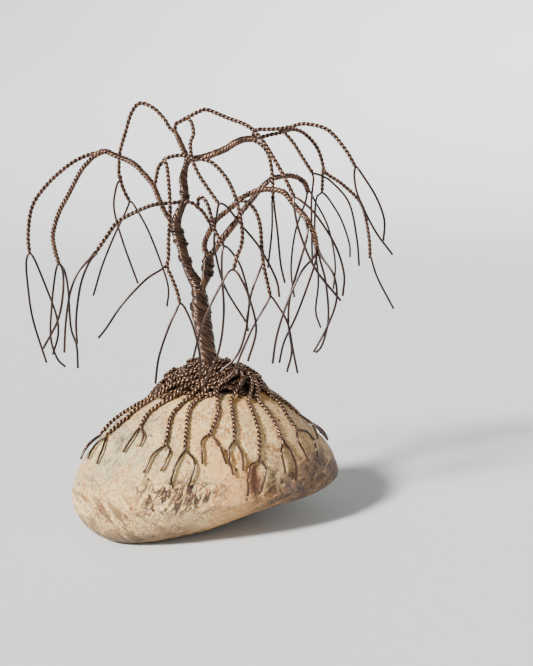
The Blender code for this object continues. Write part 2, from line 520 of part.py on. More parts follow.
def build_mat(ground, surface, collection):
    """A low mound of roots with swirling ridges, whose underside follows the stone."""
    made = bmesh.new()

    def ring_at(share, top):
        ring = []
        for step in range(MAT_STEPS):
            angle = 2 * math.pi * step / MAT_STEPS
            x = MAT_REACH[0] * share * math.cos(angle)
            y = MAT_REACH[1] * share * math.sin(angle)
            foot = ground.ray_cast(Vector((x, y, 2 * MAT_TOP)), Vector((0.0, 0.0, -1.0)))[0]
            low = foot.z + MAT_BED
            rim = low + MAT_RIM
            crown = max(0.0, 1.0 - max(0.0, share - MAT_CROWN) / (1.0 - MAT_CROWN))
            ridge = MAT_RIDGE * math.cos(MAT_RIDGES * (angle + MAT_SWIRL * share))
            ridge *= min(1.0, MAT_RIDGE_RAMP * (share - MAT_CROWN))
            high = rim + (MAT_TOP - rim) * crown ** MAT_DOME + ridge
            ring.append(made.verts.new((x, y, high if top else low)))
        return ring

    shares = [MAT_CROWN + (1.0 - MAT_CROWN) * k / MAT_RINGS for k in range(MAT_RINGS + 1)]
    rings = [ring_at(share, True) for share in shares] + [ring_at(share, False) for share in MAT_UNDER_SHARES]
    for inner, outer in zip(rings, rings[1:]):
        for step in range(MAT_STEPS):
            after = (step + 1) % MAT_STEPS
            made.faces.new((inner[step], outer[step], outer[after], inner[after]))
    made.faces.new(rings[0])
    made.faces.new(list(reversed(rings[-1])))
    bmesh.ops.recalc_face_normals(made, faces=made.faces)
    bmesh.ops.triangulate(made, faces=made.faces)
    return finish_mesh("root_mat", made, surface, collection)


def build():
    clear_scene()
    collection = bpy.data.collections.new("copper_wire_tree")
    bpy.context.scene.collection.children.link(collection)
    surfaces = {
        "trunk": material("dark_twisted_copper", TRUNK_COPPER, 0.42, 0.9),
        "copper": material("brown_copper_wire", COPPER, 0.38, 0.9),
        "root": material("warm_copper_root", ROOT_COPPER, 0.36, 0.9),
        "stone": material("pebble", STONE_COLOUR, 0.62, 0.0),
    }
    shape = stone_shape()
    ground = BVHTree.FromBMesh(shape)
    finish_mesh("stone", shape, surfaces["stone"], collection)
    build_mat(ground, surfaces["root"], collection)
    build_roots(ground, surfaces["root"], collection)
    build_limbs(surfaces, collection)


build()
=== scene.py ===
"""Finish and fine form of the copper wire tree on its pebble.

Wires are routed in millimetres, as in the solids' own source, and brought to metres at the end.
"""
import math
import random

import bmesh
import bpy
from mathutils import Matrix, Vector, noise
from mathutils.bvhtree import BVHTree
from mathutils.kdtree import KDTree


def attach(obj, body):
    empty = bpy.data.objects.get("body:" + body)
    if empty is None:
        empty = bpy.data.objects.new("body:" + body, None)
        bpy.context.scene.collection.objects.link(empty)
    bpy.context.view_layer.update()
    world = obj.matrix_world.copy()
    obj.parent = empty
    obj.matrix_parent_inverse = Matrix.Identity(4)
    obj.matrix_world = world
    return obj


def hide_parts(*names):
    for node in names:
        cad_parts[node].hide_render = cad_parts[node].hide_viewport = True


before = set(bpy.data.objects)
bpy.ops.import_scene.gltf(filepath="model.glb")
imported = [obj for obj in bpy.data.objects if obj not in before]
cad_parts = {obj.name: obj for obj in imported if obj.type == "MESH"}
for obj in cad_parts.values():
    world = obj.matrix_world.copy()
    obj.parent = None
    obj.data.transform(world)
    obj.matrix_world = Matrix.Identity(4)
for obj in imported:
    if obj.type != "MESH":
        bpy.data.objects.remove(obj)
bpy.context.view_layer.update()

MM = 0.001

# Wire, and how tightly each number of wires is twisted: length of one turn, in mm
WIRE = 0.5
TURN = {2: 1.9, 3: 2.4, 4: 3.0, 6: 3.8, 7: 4.6, 10: 6.0, 15: 10.5}
# Steps along twisted wire, loose wire and root ends, in mm, and how finely wires, tips and hearts are rounded
FINE_STEP = 0.24
TIP_STEP = 0.8
ROOT_TIP_STEP = 0.48
SIDES = 1
TIP_SIDES = 2
HEART_SIDES = 3
# How far the wires of a pair or a triple lie from the strand's axis, so that they touch
RINGS = {2: 0.235, 3: 0.28}
# How far out a free wire counts as lying, from 0 in a groove to 1 on a crest, and from where it counts as free
LOOSE_CREST = 0.4
LOOSE_START = 1.5
STONE_CLEARANCE = 0.03
ROOT_WIDTH = 0.95
# Where rays that look straight down for the stone start, in mm
OVERHEAD = 60.0
DOWN = Vector((0.0, 0.0, -1.0))

# Stone, in mm: half sizes about its widest level, and how it lies. Its right end thins above and below,
# its left end hangs lower, and its foot sits behind its crest.
STONE_HALF_LENGTH = 29.0
STONE_HALF_WIDTH = 17.0
STONE_WAIST = 9.3
STONE_TOP = 21.05
STONE_BELLY = 11.6
STONE_CENTRE = (-0.5, -3.45)
STONE_TURN = math.radians(21.0)
STONE_SQUARENESS = 1.96
STONE_LEAN = 2.1
STONE_FOOT_SHIFT = (-1.75, 4.35)
STONE_END_RISE = 6.2
STONE_END_DROP = 1.4
STONE_HEEL = 5.4
STONE_LUMP = 0.45
# Broad swells and hollows: the way out to each from the stone's middle, and its share of the size there
STONE_SWELLS = (((1.0, 0.0, 0.1), 0.03), ((0.75, -0.1, 0.6), -0.08), ((0.8, -0.4, -0.5), 0.09),
                ((0.35, -0.6, -0.7), -0.17), ((-0.2, -0.7, -0.7), 0.02), ((-0.6, -0.6, -0.55), 0.08),
                ((-0.95, -0.2, -0.3), -0.04), ((-0.7, -0.2, 0.65), -0.05))
STONE_SWELL_REACH = 0.45
STONE_SEGMENTS = 288
STONE_RINGS = 180
# Worn dents and small pits of the stone: depth in mm, how many to a mm, and where they begin
DENT_DEPTH = 0.16
DENTS_PER_MM = 0.22
DENT_LEVEL = 0.05
PIT_DEPTH = 0.9
PITS_PER_MM = 0.9
PIT_START = 0.38

# Mat of wound roots round the trunk's foot, in mm, and by what share it runs out further to the left
MAT_REACH = (12.6, 8.8)
MAT_RIM = 0.9
MAT_TOP = 34.6
MAT_CROWN = 0.18
MAT_DOME = 0.85
MAT_LEFT_REACH = 1.12

# The eye that the routes are read from, and the camera's
EYE = Vector((12.4, -180.0, 68.0))
TILT = math.radians(8.6)
FOCAL_PIXELS = 851.0
PICTURE_HEIGHT = 666
FILM = 36.0


def seen(across, up, depth):
    """Point at a depth behind the trunk, as it looks against the trunk's plane."""
    reach = (depth - EYE.y) / -EYE.y
    return Vector((EYE.x + (across - EYE.x) * reach, depth, EYE.z + (up - EYE.z) * reach))


# Each limb: its width in mm, its points (across, up, depth[, width]) and its loose tips
LIMBS = {
    "trunk": (3.6, [
        (-0.1, 34.9, 0, 3.9), (-0.3, 37.5, 0, 3.6), (-0.8, 41, 0, 3.75), (-1.45, 44.6, 0, 4.25),
        (-1.75, 47.3, 0, 3.7), (-1.8, 49, 0, 2.9), (-2.2, 51, 0, 3.0), (-3.7, 53.5, 0, 2.3),
        (-4.9, 57, 0, 2.1), (-5.6, 60, 0, 2.5), (-6.4, 62.5, 0, 2.4), (-6.5, 64.3, 0, 2.2),
        (-5.9, 66.2, 0, 1.9), (-4.8, 68.9, 0, 1.75), (-4.7, 70.9, 0, 1.9), (-4.95, 72.8, 0, 2.0),
        (-4.6, 75, 0, 1.5), (-4.1, 77.2, 0, 1.4), (-4.9, 79.4, 0, 1.3), (-5.8, 81.5, 0, 1.2),
        (-6.5, 83, 0, 1.0)], []),
    "right_bough": (2.2, [
        (-1.9, 49.4, -0.2, 1.8), (-0.8, 51.7, -0.4, 1.8), (-0.15, 53.6, -0.6, 2.3),
        (0.15, 56.4, -0.8, 2.4), (0.2, 57.6, -0.8, 1.9)], []),
    "right_inner": (1.3, [
        (0.2, 57.2, -0.8), (-0.6, 58.6, -0.9), (-0.6, 59.9, -1), (-0.1, 61.3, -1), (1.1, 63.6, -1)], []),
    "right_outer": (1.5, [
        (0.2, 57.2, -0.8), (1.5, 58.5, -0.3), (2.4, 60, 0), (4.3, 62.3, 0.5), (5.9, 64.3, 1)], []),
    "right_middle": (1.25, [
        (1.1, 63.4, -1), (1.9, 64.8, -1.2), (4, 66.5, -1.6), (6, 68.2, -2)], []),
    "left_bough": (1.25, [
        (-6.4, 63.5, 0, 1.5), (-7.5, 64.6, -0.3), (-8.8, 66.2, -0.6), (-10.2, 69.5, -1), (-11.25, 72, -1.2),
        (-13.2, 74.4, -1.3), (-15.4, 76.5, -1.5), (-18.9, 78, -1.8), (-21.2, 78.85, -2), (-23.5, 77.9, -2.2)], []),
    "left_outer_strand": (1.0, [
        (-22.6, 78.5, -2.1), (-24.6, 78.1, -2.2), (-28.3, 76.3, -2.6), (-32.9, 72.5, -3), (-36.5, 67.8, -3.5),
        (-37.7, 62, -4), (-37.6, 57.7, -4.2)], [
        [(-38.35, 56, -4.6), (-38.3, 52, -5.2), (-37.5, 44, -6), (-34.9, 34.3, -6.5)],
        [(-36.5, 56.3, -3.9), (-34.3, 50.4, -3.6), (-32.4, 44.5, -3.4), (-32.2, 40.3, -3.2),
         (-33.5, 36.1, -3)]]),
    "left_inner_strand": (1.05, [
        (-22.8, 78.3, -2.1), (-24.3, 77, -2.8), (-26.3, 74.7, -4), (-28.9, 70.1, -6), (-31.1, 66.2, -7.5),
        (-32.5, 61.8, -8.6), (-32.2, 58.4, -9), (-31.45, 55.5, -9.2)], [
        [(-32.3, 53.5, -9.4), (-33.2, 47.6, -9.8), (-33.8, 40, -10.2), (-32.6, 35.3, -10.3),
         (-30.85, 33.4, -10.4)],
        [(-30.7, 54, -9.6), (-30.8, 49.5, -10.8), (-32.1, 43.6, -11.6), (-35.5, 37.4, -12)],
        [(-30.3, 54, -8.6), (-29.7, 50, -8), (-29.4, 42, -7.8), (-28.3, 38, -7.6), (-28.2, 33.1, -7.5)]]),
    "top_left_strand": (1.1, [
        (-6.3, 82.6, 0), (-7.6, 83.6, 0.3), (-8.6, 85.3, 0.6), (-10.9, 87.6, 1), (-13.6, 88.5, 1.4),
        (-15.4, 86.6, 1.8), (-16.8, 82.5, 2.2), (-18, 78.5, 2.6), (-18.3, 74.1, 3), (-18, 73, 3.1)], [
        [(-18.9, 71.6, 3.6), (-19.5, 67, 4.5), (-17.8, 60.1, 5.6), (-14.85, 51.4, 6.2)]]),
    "low_left_strand": (0.95, [
        (-18.1, 74.2, 3), (-17.8, 72.2, 3.1), (-17.1, 70.3, 3.2), (-16.1, 68.4, 3.3)], [
        [(-17.2, 66.2, 3.2), (-19.5, 61.7, 2.8), (-22.3, 55.2, 2.2), (-24.4, 48.8, 1.8)],
        [(-15.1, 67.5, 3.6), (-12.3, 62.2, 4.4), (-9.3, 54, 4.8), (-8.4, 50, 4.9), (-8.8, 46.5, 5)]]),
    "middle_bough": (1.05, [
        (-11, 71.5, -1.2), (-10.5, 73.6, -1.9), (-10, 75.6, -2.6), (-8.5, 77.4, -3.2)], []),
    "front_left_strand": (1.05, [
        (-8.9, 77.2, -3), (-8.3, 75.6, -4), (-7.9, 70.9, -6), (-7.8, 66, -7.6), (-8.2, 61, -9),
        (-8.3, 57, -9.8), (-8.6, 54.9, -10.2), (-7.6, 52.4, -10.4), (-6.6, 49.7, -10.6), (-6, 47, -10.7)], [
        [(-6.8, 45.6, -11), (-8.4, 42.2, -11.6), (-10.7, 35.6, -12.4), (-11.6, 29.7, -12.8)],
        [(-5, 46.2, -10.6), (-3.3, 42.2, -10.8), (-2, 36.4, -11.4), (-1.85, 30.7, -11.8)]]),
    "front_left_tip": (0.5, [
        (-8.5, 55.6, -10), (-9.8, 54.4, -10.8), (-13.3, 52.1, -12.4), (-18.3, 46.9, -14),
        (-21.8, 41.9, -14.6), (-23.6, 39.7, -14.8)], []),
    "front_middle_strand": (1.0, [
        (-8.9, 77.2, -3), (-7.2, 77.8, -3.6), (-4.6, 78, -4.2), (-1.2, 77.3, -5), (1.4, 76.3, -5.8),
        (4.4, 72.8, -7.4), (6.3, 68.1, -9), (7.2, 63.3, -10.2), (7.2, 60, -10.8), (6.1, 56.8, -11.2),
        (5.4, 54.2, -11.4)], [
        [(4.2, 53.6, -11.6), (1.1, 48, -12.4), (-1.4, 42.4, -13.2), (-3.4, 35.1, -13.8)],
        [(6.5, 53.3, -11.8), (8.6, 48.7, -12.8), (10.2, 41.6, -13.6), (8.4, 34.6, -14)]]),
    "cross_strand": (1.1, [
        (1.1, 63.2, -1.1), (0.1, 64.9, -2.2), (-1.05, 66.6, -3), (-2.6, 67.9, -3.6)], []),
    "low_front_strand": (1.0, [
        (-2, 67.6, -3.4), (-3.9, 68.5, -4), (-7.2, 68.3, -5), (-11.2, 67.9, -7), (-15.3, 66.3, -9.4),
        (-18.9, 64.3, -11.4), (-21, 61.6, -12.8), (-23.65, 57.9, -14)], [
        [(-24.8, 56.8, -14.4), (-27.6, 53.5, -15.4), (-29.4, 49, -16.2), (-30.5, 42.6, -16.8),
         (-31, 36.5, -17)],
        [(-25, 56, -14), (-27, 51.2, -13.6), (-28.2, 44, -13.4), (-28.2, 38.4, -13.4)]]),
    "hook_strand": (0.95, [
        (-1.9, 67.3, -3.3), (-1.8, 69, -4), (-1.1, 69.4, -4.6), (0, 68.1, -5.4), (0.9, 65.1, -6.6),
        (1.6, 62.5, -7.6), (3.5, 59.1, -8.4)], [
        [(3, 57.6, -8.8), (2.95, 53.3, -9.6), (3.3, 44.9, -10.6), (2, 36.4, -11.6), (-1.7, 28.1, -12.2)],
        [(4.7, 58.5, -8.2), (7, 54.9, -7.8), (8.7, 48, -7.4), (8.2, 43.6, -7.2), (8.5, 41.2, -7.1)]]),
    "top_link": (1.05, [
        (-6.3, 82.4, 0), (-6.4, 84.2, -0.4), (-5.1, 85, -0.9), (-3.1, 86.1, -1.3)], []),
    "top_right_strand": (1.0, [
        (-3.9, 85.7, -1.2), (-1.6, 86.8, -1.8), (0.2, 87.2, -2.6), (4.3, 85.6, -4.4), (8.6, 83.9, -6.4),
        (11.5, 81.1, -8), (14.5, 76.4, -10), (16.4, 73, -11.2), (18.35, 69.2, -12.2)], [
        [(19.4, 68.9, -12.6), (22.6, 66, -13.6), (26.8, 59.6, -14.8), (28.8, 53.5, -15.6), (28.6, 48.7, -16)],
        [(18.2, 67.4, -12.6), (19.3, 62.4, -13.4), (22.6, 54.7, -14), (28.2, 47.7, -14.4)]]),
    "top_front_strand": (0.95, [
        (-3.9, 85.6, -1.2), (-3.1, 84.6, -2.4), (-2.7, 82.4, -3.8), (-3.4, 80.4, -5.2), (-3, 77.2, -6.8),
        (-1.8, 74.3, -7.4), (0, 71.5, -7.9), (2.5, 68, -8.4)], [
        [(2.1, 66.6, -7.6), (1.4, 61, -5.2), (1.7, 57.5, -4.2), (3.6, 50.6, -2.4), (8, 43.2, -0.6)],
        [(3.9, 67.7, -8.4), (7.2, 63.6, -8.4), (11, 58.9, -9.4), (14.4, 52.4, -10.2), (15.15, 48.5, -10.4)]]),
    "top_right_bough": (1.5, [
        (-4.2, 76.9, 0), (-2.6, 77.3, 0.6), (0.4, 78, 1.4), (3.8, 79.3, 2), (7, 81.1, 2.4), (10.2, 81.5, 2.7)], []),
    "rim_link_high": (0.95, [
        (9.3, 81.4, 2.6), (10.2, 83.1, 2), (12.6, 83.3, 2), (15, 83.4, 2.2), (17.3, 83.8, 2.3)], []),
    "rim_link_low": (0.95, [
        (9.3, 81.4, 2.6), (11.2, 81.7, 3.1), (13.2, 82.2, 3.3), (15.2, 82.6, 2.9), (17.2, 83.5, 2.4)], []),
    "right_outer_strand": (1.0, [
        (16, 82.9, 2.6), (17.8, 83.9, 2.2), (20.5, 84.4, 1.6), (25, 83.2, 0.4), (28.6, 79.4, -0.8),
        (31, 75.5, -1.6)], [
        [(30.7, 73.5, -1.6), (31.6, 69.6, -1.6), (35.1, 62.7, -1.8), (39, 57.5, -2)],
        [(31.9, 74.7, -2), (35.2, 69.7, -3), (37.1, 64.8, -3.6), (37, 60.4, -4)]]),
    "right_inner_strand": (1.0, [
        (16, 82.8, 2.7), (18, 80.5, 3.2), (20, 77.4, 3.8), (22.15, 74.2, 4.4)], [
        [(23.6, 74, 4.4), (26.1, 72.5, 4.2), (29.7, 68.2, 4), (31.4, 61, 3.6), (32, 55.1, 3.4)],
        [(22.2, 73.2, 4.8), (21.8, 68.6, 5.4), (21.9, 62.5, 6.2), (22.1, 55.6, 6.8)]]),
    "right_front_strand": (0.95, [
        (9.4, 81.2, 2.6), (11.2, 80.2, 1.6), (12.8, 78.1, 0.4), (13.6, 74, -1), (13.75, 68.6, -2.2)], [
        [(13.6, 66.4, -2.6), (13.5, 62, -3.4), (12.7, 54.7, -4)],
        [(14.1, 67, -2), (14.7, 62.4, -1.4), (15.4, 55.6, -1), (16.3, 51.5, -0.8)]]),
    "back_right_strand": (1.0, [
        (16, 82.9, 2.6), (18.2, 83.3, 3.6), (20.5, 82.3, 5.2), (22.9, 79.6, 6.8), (24.1, 76.2, 8),
        (24.2, 74.2, 8.6)], []),
    "back_outer_strand": (1.0, [
        (24.2, 75.2, 8.3), (25.2, 74.1, 8.9), (28.5, 71.9, 9.8), (32.3, 67.9, 10.8), (33.9, 61.5, 11.6),
        (34.3, 56.8, 12)], [
        [(34.9, 55.4, 12.2), (36.2, 52, 12.6), (39.5, 46, 13)]]),
    "back_inner_strand": (1.0, [
        (24.2, 75.2, 8.3), (24.1, 73, 10), (24, 70.3, 11.4)], [
        [(22.7, 68.6, 12), (22.6, 60, 13.4), (23.4, 52, 14.2), (22.9, 45.6, 14.8), (24, 41.9, 15)],
        [(25.2, 69.4, 12), (28, 65, 13), (29.8, 60, 13.6), (30.05, 57, 13.8)]]),
    "back_bough": (1.3, [
        (5.7, 63.9, 0.9), (6.9, 66, 2.4), (9.5, 69.2, 5), (12.5, 72.6, 8), (15, 73.7, 9.6),
        (18, 73.8, 11.2), (20.2, 72.6, 12.4), (21.2, 70.4, 13.2)], [
        [(20.5, 68.4, 13.8), (18.4, 62, 15.2), (17.6, 54.5, 16), (18.3, 48.5, 16.4)],
        [(22.3, 69.1, 13.6), (25.3, 63.4, 14.8), (26.9, 56, 15.6), (26.6, 50.2, 16)]]),
    "front_right_bough": (1.25, [
        (5.6, 67.9, -2), (7.2, 69.3, -2.6), (9.9, 70.6, -3.4), (12.5, 71.1, -4.2), (15.9, 70.5, -5.2),
        (18, 68.1, -6.2), (20.4, 65.4, -7.2)], []),
    "front_right_twig": (0.5, [
        (19.6, 66.3, -6.9), (20.7, 64, -8), (21, 61.6, -9.2), (19.4, 55.7, -9.6), (17.4, 48.4, -9),
        (17.1, 42.5, -8.4), (17.8, 36.8, -8), (16.8, 32.3, -7.8)], []),
    "front_right_strand": (1.2, [
        (19.2, 66.8, -6.7), (20.7, 65.2, -7.2), (22.3, 62, -7.6), (23.1, 58.6, -8)], [
        [(22.4, 56.9, -8.8), (19.8, 53.9, -10.4), (16.8, 47.2, -11.6), (14.6, 40.1, -12.4), (13.7, 34.1, -12.8)],
        [(23.6, 56.8, -7.8), (25, 51.5, -7.4), (25.6, 43.9, -6.8), (24.4, 38.3, -6.4), (23, 36.5, -6.2)],
        [(22.9, 56.6, -7.4), (21.5, 52, -5.6), (18.8, 44.6, -3.8), (16.2, 38.9, -3), (15.15, 34.3, -2.6)],
        [(24.2, 56.8, -9), (26.7, 53, -11), (27.3, 48, -11.8), (25.5, 42.4, -12.4), (22.5, 36.6, -13)]]),
    "right_low_strand": (1.05, [
        (5.5, 67.8, -1.9), (7.3, 68.7, -3.2), (9.6, 67.3, -4.4), (11, 63.9, -5.8), (11.4, 59, -7.2),
        (11.8, 55.2, -8), (12.6, 51.5, -8.6), (13.3, 48.4, -9)], [
        [(12.5, 47.2, -9.4), (9.6, 42.2, -10.4), (7.2, 36.8, -11), (5.1, 32.1, -11.4), (1.8, 29.7, -11.6)],
        [(14.4, 47.3, -9), (16.9, 42.9, -9.4), (18.2, 36.5, -9.8), (19.1, 32, -10)]]),
    "right_low_tip": (0.5, [
        (11.7, 55.8, -7.9), (10.6, 53.2, -8.8), (9, 48.6, -9.8), (8, 41.4, -10.4), (6, 35.8, -10.9),
        (2, 32, -11.2)], []),
}

# Each root: where it shows over the stone (across, up), and the routes of its two loose ends
FRONT_ROOTS = [
    ([(-8.5, 30.2, 2.5), (-13, 28.9, 1), (-16.6, 27, -2), (-20.5, 23, -5.5), (-24.2, 19, -8)],
     [(-28.2, 14.2, -10)], [(-26.9, 15.4, -10.5), (-28.4, 12.9, -11.5)]),
    ([(-8, 27.6), (-12.4, 25.8), (-17.6, 21.8), (-22.2, 17.8)],
     [(-24.3, 15.9), (-26.3, 12.7)], [(-23, 14.9), (-24.4, 11.6)]),
    ([(-6.4, 26.8), (-10.4, 24.9), (-13.2, 22.6), (-14.9, 19.8)],
     [(-16.6, 17.3), (-18.7, 14.2)], [(-14.1, 17.8), (-15, 15.5)]),
    ([(-3.6, 26.6), (-6, 24.8), (-8.3, 21.8), (-9, 18.5), (-9.6, 15.8)],
     [(-12.3, 13.7), (-14.4, 9.7)], [(-8.7, 14.2), (-10.7, 10.1)]),
    ([(-1.2, 26.8), (-3.9, 24.6), (-4.7, 22), (-5.1, 18.5), (-5.4, 14.6)],
     [(-7.5, 11.3), (-8.8, 7)], [(-3.4, 12), (-4.8, 6.7)]),
    ([(0.8, 27), (2, 24.4), (1.2, 21.4), (0, 18.2)],
     [(-1.8, 16.6), (-1.7, 11.7)], [(1.8, 16.1), (3.4, 11.8)]),
    ([(4.4, 28), (4.6, 25), (5.2, 20.7), (5.3, 16.8)],
     [(3.8, 14), (5, 9.2)], [(6.9, 13.6), (7.1, 10.2)]),
    ([(7.2, 28.2), (8.2, 25.4), (10.3, 19.6), (10.5, 12.5)],
     [(8.3, 10.6), (8, 4.6)], [(11.9, 10.6), (10.6, 5.2)]),
    ([(8.8, 28), (10.6, 25.3), (14, 20.7), (15.9, 16.6)],
     [(15.3, 14), (16.2, 9.7)], [(18, 13), (18.5, 8)]),
    ([(10, 28.4), (13.9, 25.9), (16.6, 22.3), (18.8, 19.2)],
     [(19, 16.6), (21.2, 12.3)], [(21.2, 18.4), (23.3, 13.2)]),
    ([(11, 29.8), (14.8, 28, 0), (19.2, 23.7, 1.5)],
     [(21.4, 20.2, 1.5), (23.2, 17.2)], [(23.2, 20.6, 4.5), (26.2, 17.6, 5)]),
    ([(11, 31, 3), (14.4, 29.8, 5), (17.6, 27.6, 7), (21, 24.6, 9), (22.7, 23.3, 9.5)],
     [(24.3, 22.5, 10.5), (25.7, 20.6, 10.5)], [(25, 20.8, 9), (27.4, 18.3, 8.5)]),
]
# Roots out of sight run down the back. Each leaves the mat at one bearing about the trunk, in degrees
# from +X, and comes down the stone at another about the stone's middle.
BACK_ROOTS = ((33, 46), (52, 60), (71, 74), (90, 90), (110, 110), (134, 134), (158, 158))
BACK_ROOT_FALLS = (46, 60, 70)
BACK_FORK_SPREAD = 6.0
BACK_TIP_FALL = 86.0


def lumps(a, b, c):
    """Low swells of a worn pebble, from the direction out of its middle."""
    return (0.5 * math.sin(2.6 * a + 1.3 * b + 0.4) + 0.35 * math.sin(4.1 * b - 2.2 * c + 1.7)
            + 0.25 * math.sin(5.3 * c + 3.4 * a - 0.6))


def swells(out):
    """Share by which the stone is fuller one way out of its middle."""
    return sum(share * math.exp(-(out - Vector(way).normalized()).length_squared / STONE_SWELL_REACH ** 2)
               for way, share in STONE_SWELLS)


def stone_point(bearing, fall):
    """Surface of the stone at a bearing about its middle and a fall from straight up."""
    a = math.sin(fall) * math.cos(bearing - STONE_TURN)
    b = math.sin(fall) * math.sin(bearing - STONE_TURN)
    c = math.cos(fall)
    n = STONE_SQUARENESS
    size = (abs(a) ** n + abs(b) ** n + abs(c) ** n) ** (-1.0 / n)
    bulge = size * (1.0 + STONE_LUMP * lumps(a, b, c) / STONE_TOP + swells(Vector((a, b, c))))
    right = max(0.0, a * size)
    left = max(0.0, -a * size)
    along = a * STONE_HALF_LENGTH * bulge
    across = b * STONE_HALF_WIDTH * bulge
    if c > 0.0:
        height = STONE_TOP - STONE_END_DROP * right * right
        along += STONE_LEAN * c
    else:
        height = STONE_BELLY - STONE_END_RISE * right * right + STONE_HEEL * left * left
        along -= STONE_FOOT_SHIFT[0] * c
        across -= STONE_FOOT_SHIFT[1] * c
    x = STONE_CENTRE[0] + along * math.cos(STONE_TURN) - across * math.sin(STONE_TURN)
    y = STONE_CENTRE[1] + along * math.sin(STONE_TURN) + across * math.cos(STONE_TURN)
    z = STONE_WAIST + c * height * bulge
    return Vector((x, y, max(z, 0.0)))


# How far the wires of a thick strand stray from an even twist, in radians
WANDER = 0.5
# Wires that show in the skin of a limb of each width
WIRES = {1.5: 6, 1.3: 4, 1.25: 4, 1.2: 4, 1.1: 2, 1.05: 2, 1.0: 2, 0.95: 2, 0.5: 1}
# With more wires than this, a strand strays and has one more wire along its axis
MOST_SKIN = 3
# Points of a strand's wire that give way to a smooth turn into its loose end, on a limb and on a root
TIP_JOIN = 4
ROOT_JOIN = 5
# Points of a root that hang free where it lands on the stone and where its loose ends set out
ROOT_FREE = 4


def smooth_route(points, step):
    """Points every step along a smooth curve through a route of (place, width) pairs."""
    places = [Vector(place) for place, _ in points]
    widths = [width for _, width in points]
    ends = [2 * places[0] - places[1]] + places + [2 * places[-1] - places[-2]]
    route = []
    for i in range(len(places) - 1):
        before, start, stop, after = ends[i:i + 4]
        count = max(1, math.ceil((stop - start).length / step))
        for k in range(count):
            t = k / count
            place = 0.5 * (2 * start + (stop - before) * t + (2 * before - 5 * start + 4 * stop - after) * t * t
                           + (3 * start - before - 3 * stop + after) * t ** 3)
            route.append((place, widths[i] + (widths[i + 1] - widths[i]) * t))
    route.append((places[-1], widths[-1]))
    return route


def length_of(route):
    return sum((ahead[0] - place[0]).length for place, ahead in zip(route, route[1:]))


def part_of(route, start, stop):
    """The points of a finely sampled route between two lengths along it."""
    kept = []
    run = 0.0
    for item, ahead in zip(route, route[1:] + route[-1:]):
        if start <= run <= stop:
            kept.append(item)
        run += (ahead[0] - item[0]).length
    return kept


def frames_along(route):
    """An upright pair of cross directions at each point, carried along without spin."""
    pairs = []
    side = None
    for i in range(len(route)):
        onward = (route[min(i + 1, len(route) - 1)][0] - route[max(i - 1, 0)][0]).normalized()
        if side is None:
            side = onward.orthogonal().normalized()
        side = (side - onward * side.dot(onward)).normalized()
        pairs.append((side, onward.cross(side)))
    return pairs


def twisted(route, count, turn, facing=None, wander=0.0):
    """The wires of a strand: each winds round the route, and one faces a given way at the end."""
    pairs = frames_along(route)
    total = length_of(route)
    side, over = pairs[-1]
    end_angle = math.atan2(facing.dot(over), facing.dot(side)) if facing else 0.0
    wires = []
    for number in range(count):
        run = 0.0
        path = []
        for i, (place, width) in enumerate(route):
            if i:
                run += (place - route[i - 1][0]).length
            stray = wander * noise.noise(Vector((number * 5.1, run * 0.4, float(count))))
            angle = end_angle + 2 * math.pi * (number / count + (total - run) / turn) + stray
            ring = ring_of(count, width) + 0.25 * stray
            across, up = pairs[i]
            path.append(place + (across * math.cos(angle) + up * math.sin(angle)) * ring)
        wires.append(path)
    return wires


def ring_of(count, width):
    """Distance of a strand's wires from its axis."""
    return RINGS.get(count, width / 2 - WIRE / 2)


def mark_crests(mesh, axes):
    """Keeps for each point of the wires how far out of its strand it lies: 0 in a groove, 1 on a crest."""
    kept = [LOOSE_CREST] * len(mesh.vertices)
    if axes:
        tree = KDTree(len(axes))
        for i, (place, _) in enumerate(axes):
            tree.insert(place * MM, i)
        tree.balance()
        for number, vertex in enumerate(mesh.vertices):
            _, i, away = tree.find(vertex.co)
            out = (away / MM - axes[i][1]) / (WIRE / 2)
            if out <= LOOSE_START:
                kept[number] = max(0.0, min(1.0, out))
    mesh.attributes.new("crest", "FLOAT", "POINT").data.foreach_set("value", kept)


def linked(name, data):
    """A new object of the data, in the scene."""
    thing = bpy.data.objects.new(name, data)
    bpy.context.scene.collection.objects.link(thing)
    return thing


def round_mesh(name, paths, radius, sides):
    """A mesh of round bars with closed ends along paths of (place, share of the radius) pairs, in metres."""
    curve = bpy.data.curves.new(name, "CURVE")
    curve.dimensions = "3D"
    curve.bevel_depth = radius * MM
    curve.bevel_resolution = sides
    curve.use_fill_caps = True
    for path in paths:
        spline = curve.splines.new("POLY")
        spline.points.add(len(path) - 1)
        for point, (place, share) in zip(spline.points, path):
            point.co = (*(place * MM), 1.0)
            point.radius = share
    guide = linked(name + "_guide", curve)
    bpy.context.view_layer.update()
    mesh = bpy.data.meshes.new_from_object(guide.evaluated_get(bpy.context.evaluated_depsgraph_get()))
    mesh.name = name
    bpy.data.objects.remove(guide)
    mesh.materials.clear()
    return mesh


def shown(name, mesh, axes):
    """The object of a mesh of wires, with its crests marked."""
    mesh.shade_smooth()
    mark_crests(mesh, axes)
    return linked(name, mesh)


def wire_mesh(name, wires, sides=SIDES, axes=()):
    """One mesh of single wires with closed ends."""
    mesh = round_mesh(name, [[(place, 1.0) for place in path] for path in wires], WIRE / 2, sides)
    shape = bmesh.new()
    shape.from_mesh(mesh)
    bmesh.ops.remove_doubles(shape, verts=shape.verts, dist=1e-8)
    bmesh.ops.recalc_face_normals(shape, faces=shape.faces)
    shape.to_mesh(mesh)
    shape.free()
    return shown(name, mesh, axes)


def axes_of(route, count):
    """The axis of a strand with its ring at each point."""
    return [(place, ring_of(count, width)) for place, width in route]


def dress(thing, surface, slot, *nodes):
    """Gives a piece its material and body, and hides the solids of the nodes that it stands for. Its slot is not
    used.
    """
    thing.data.materials.append(surface)
    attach(thing, "root")
    if nodes:
        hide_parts(*nodes)
    return thing


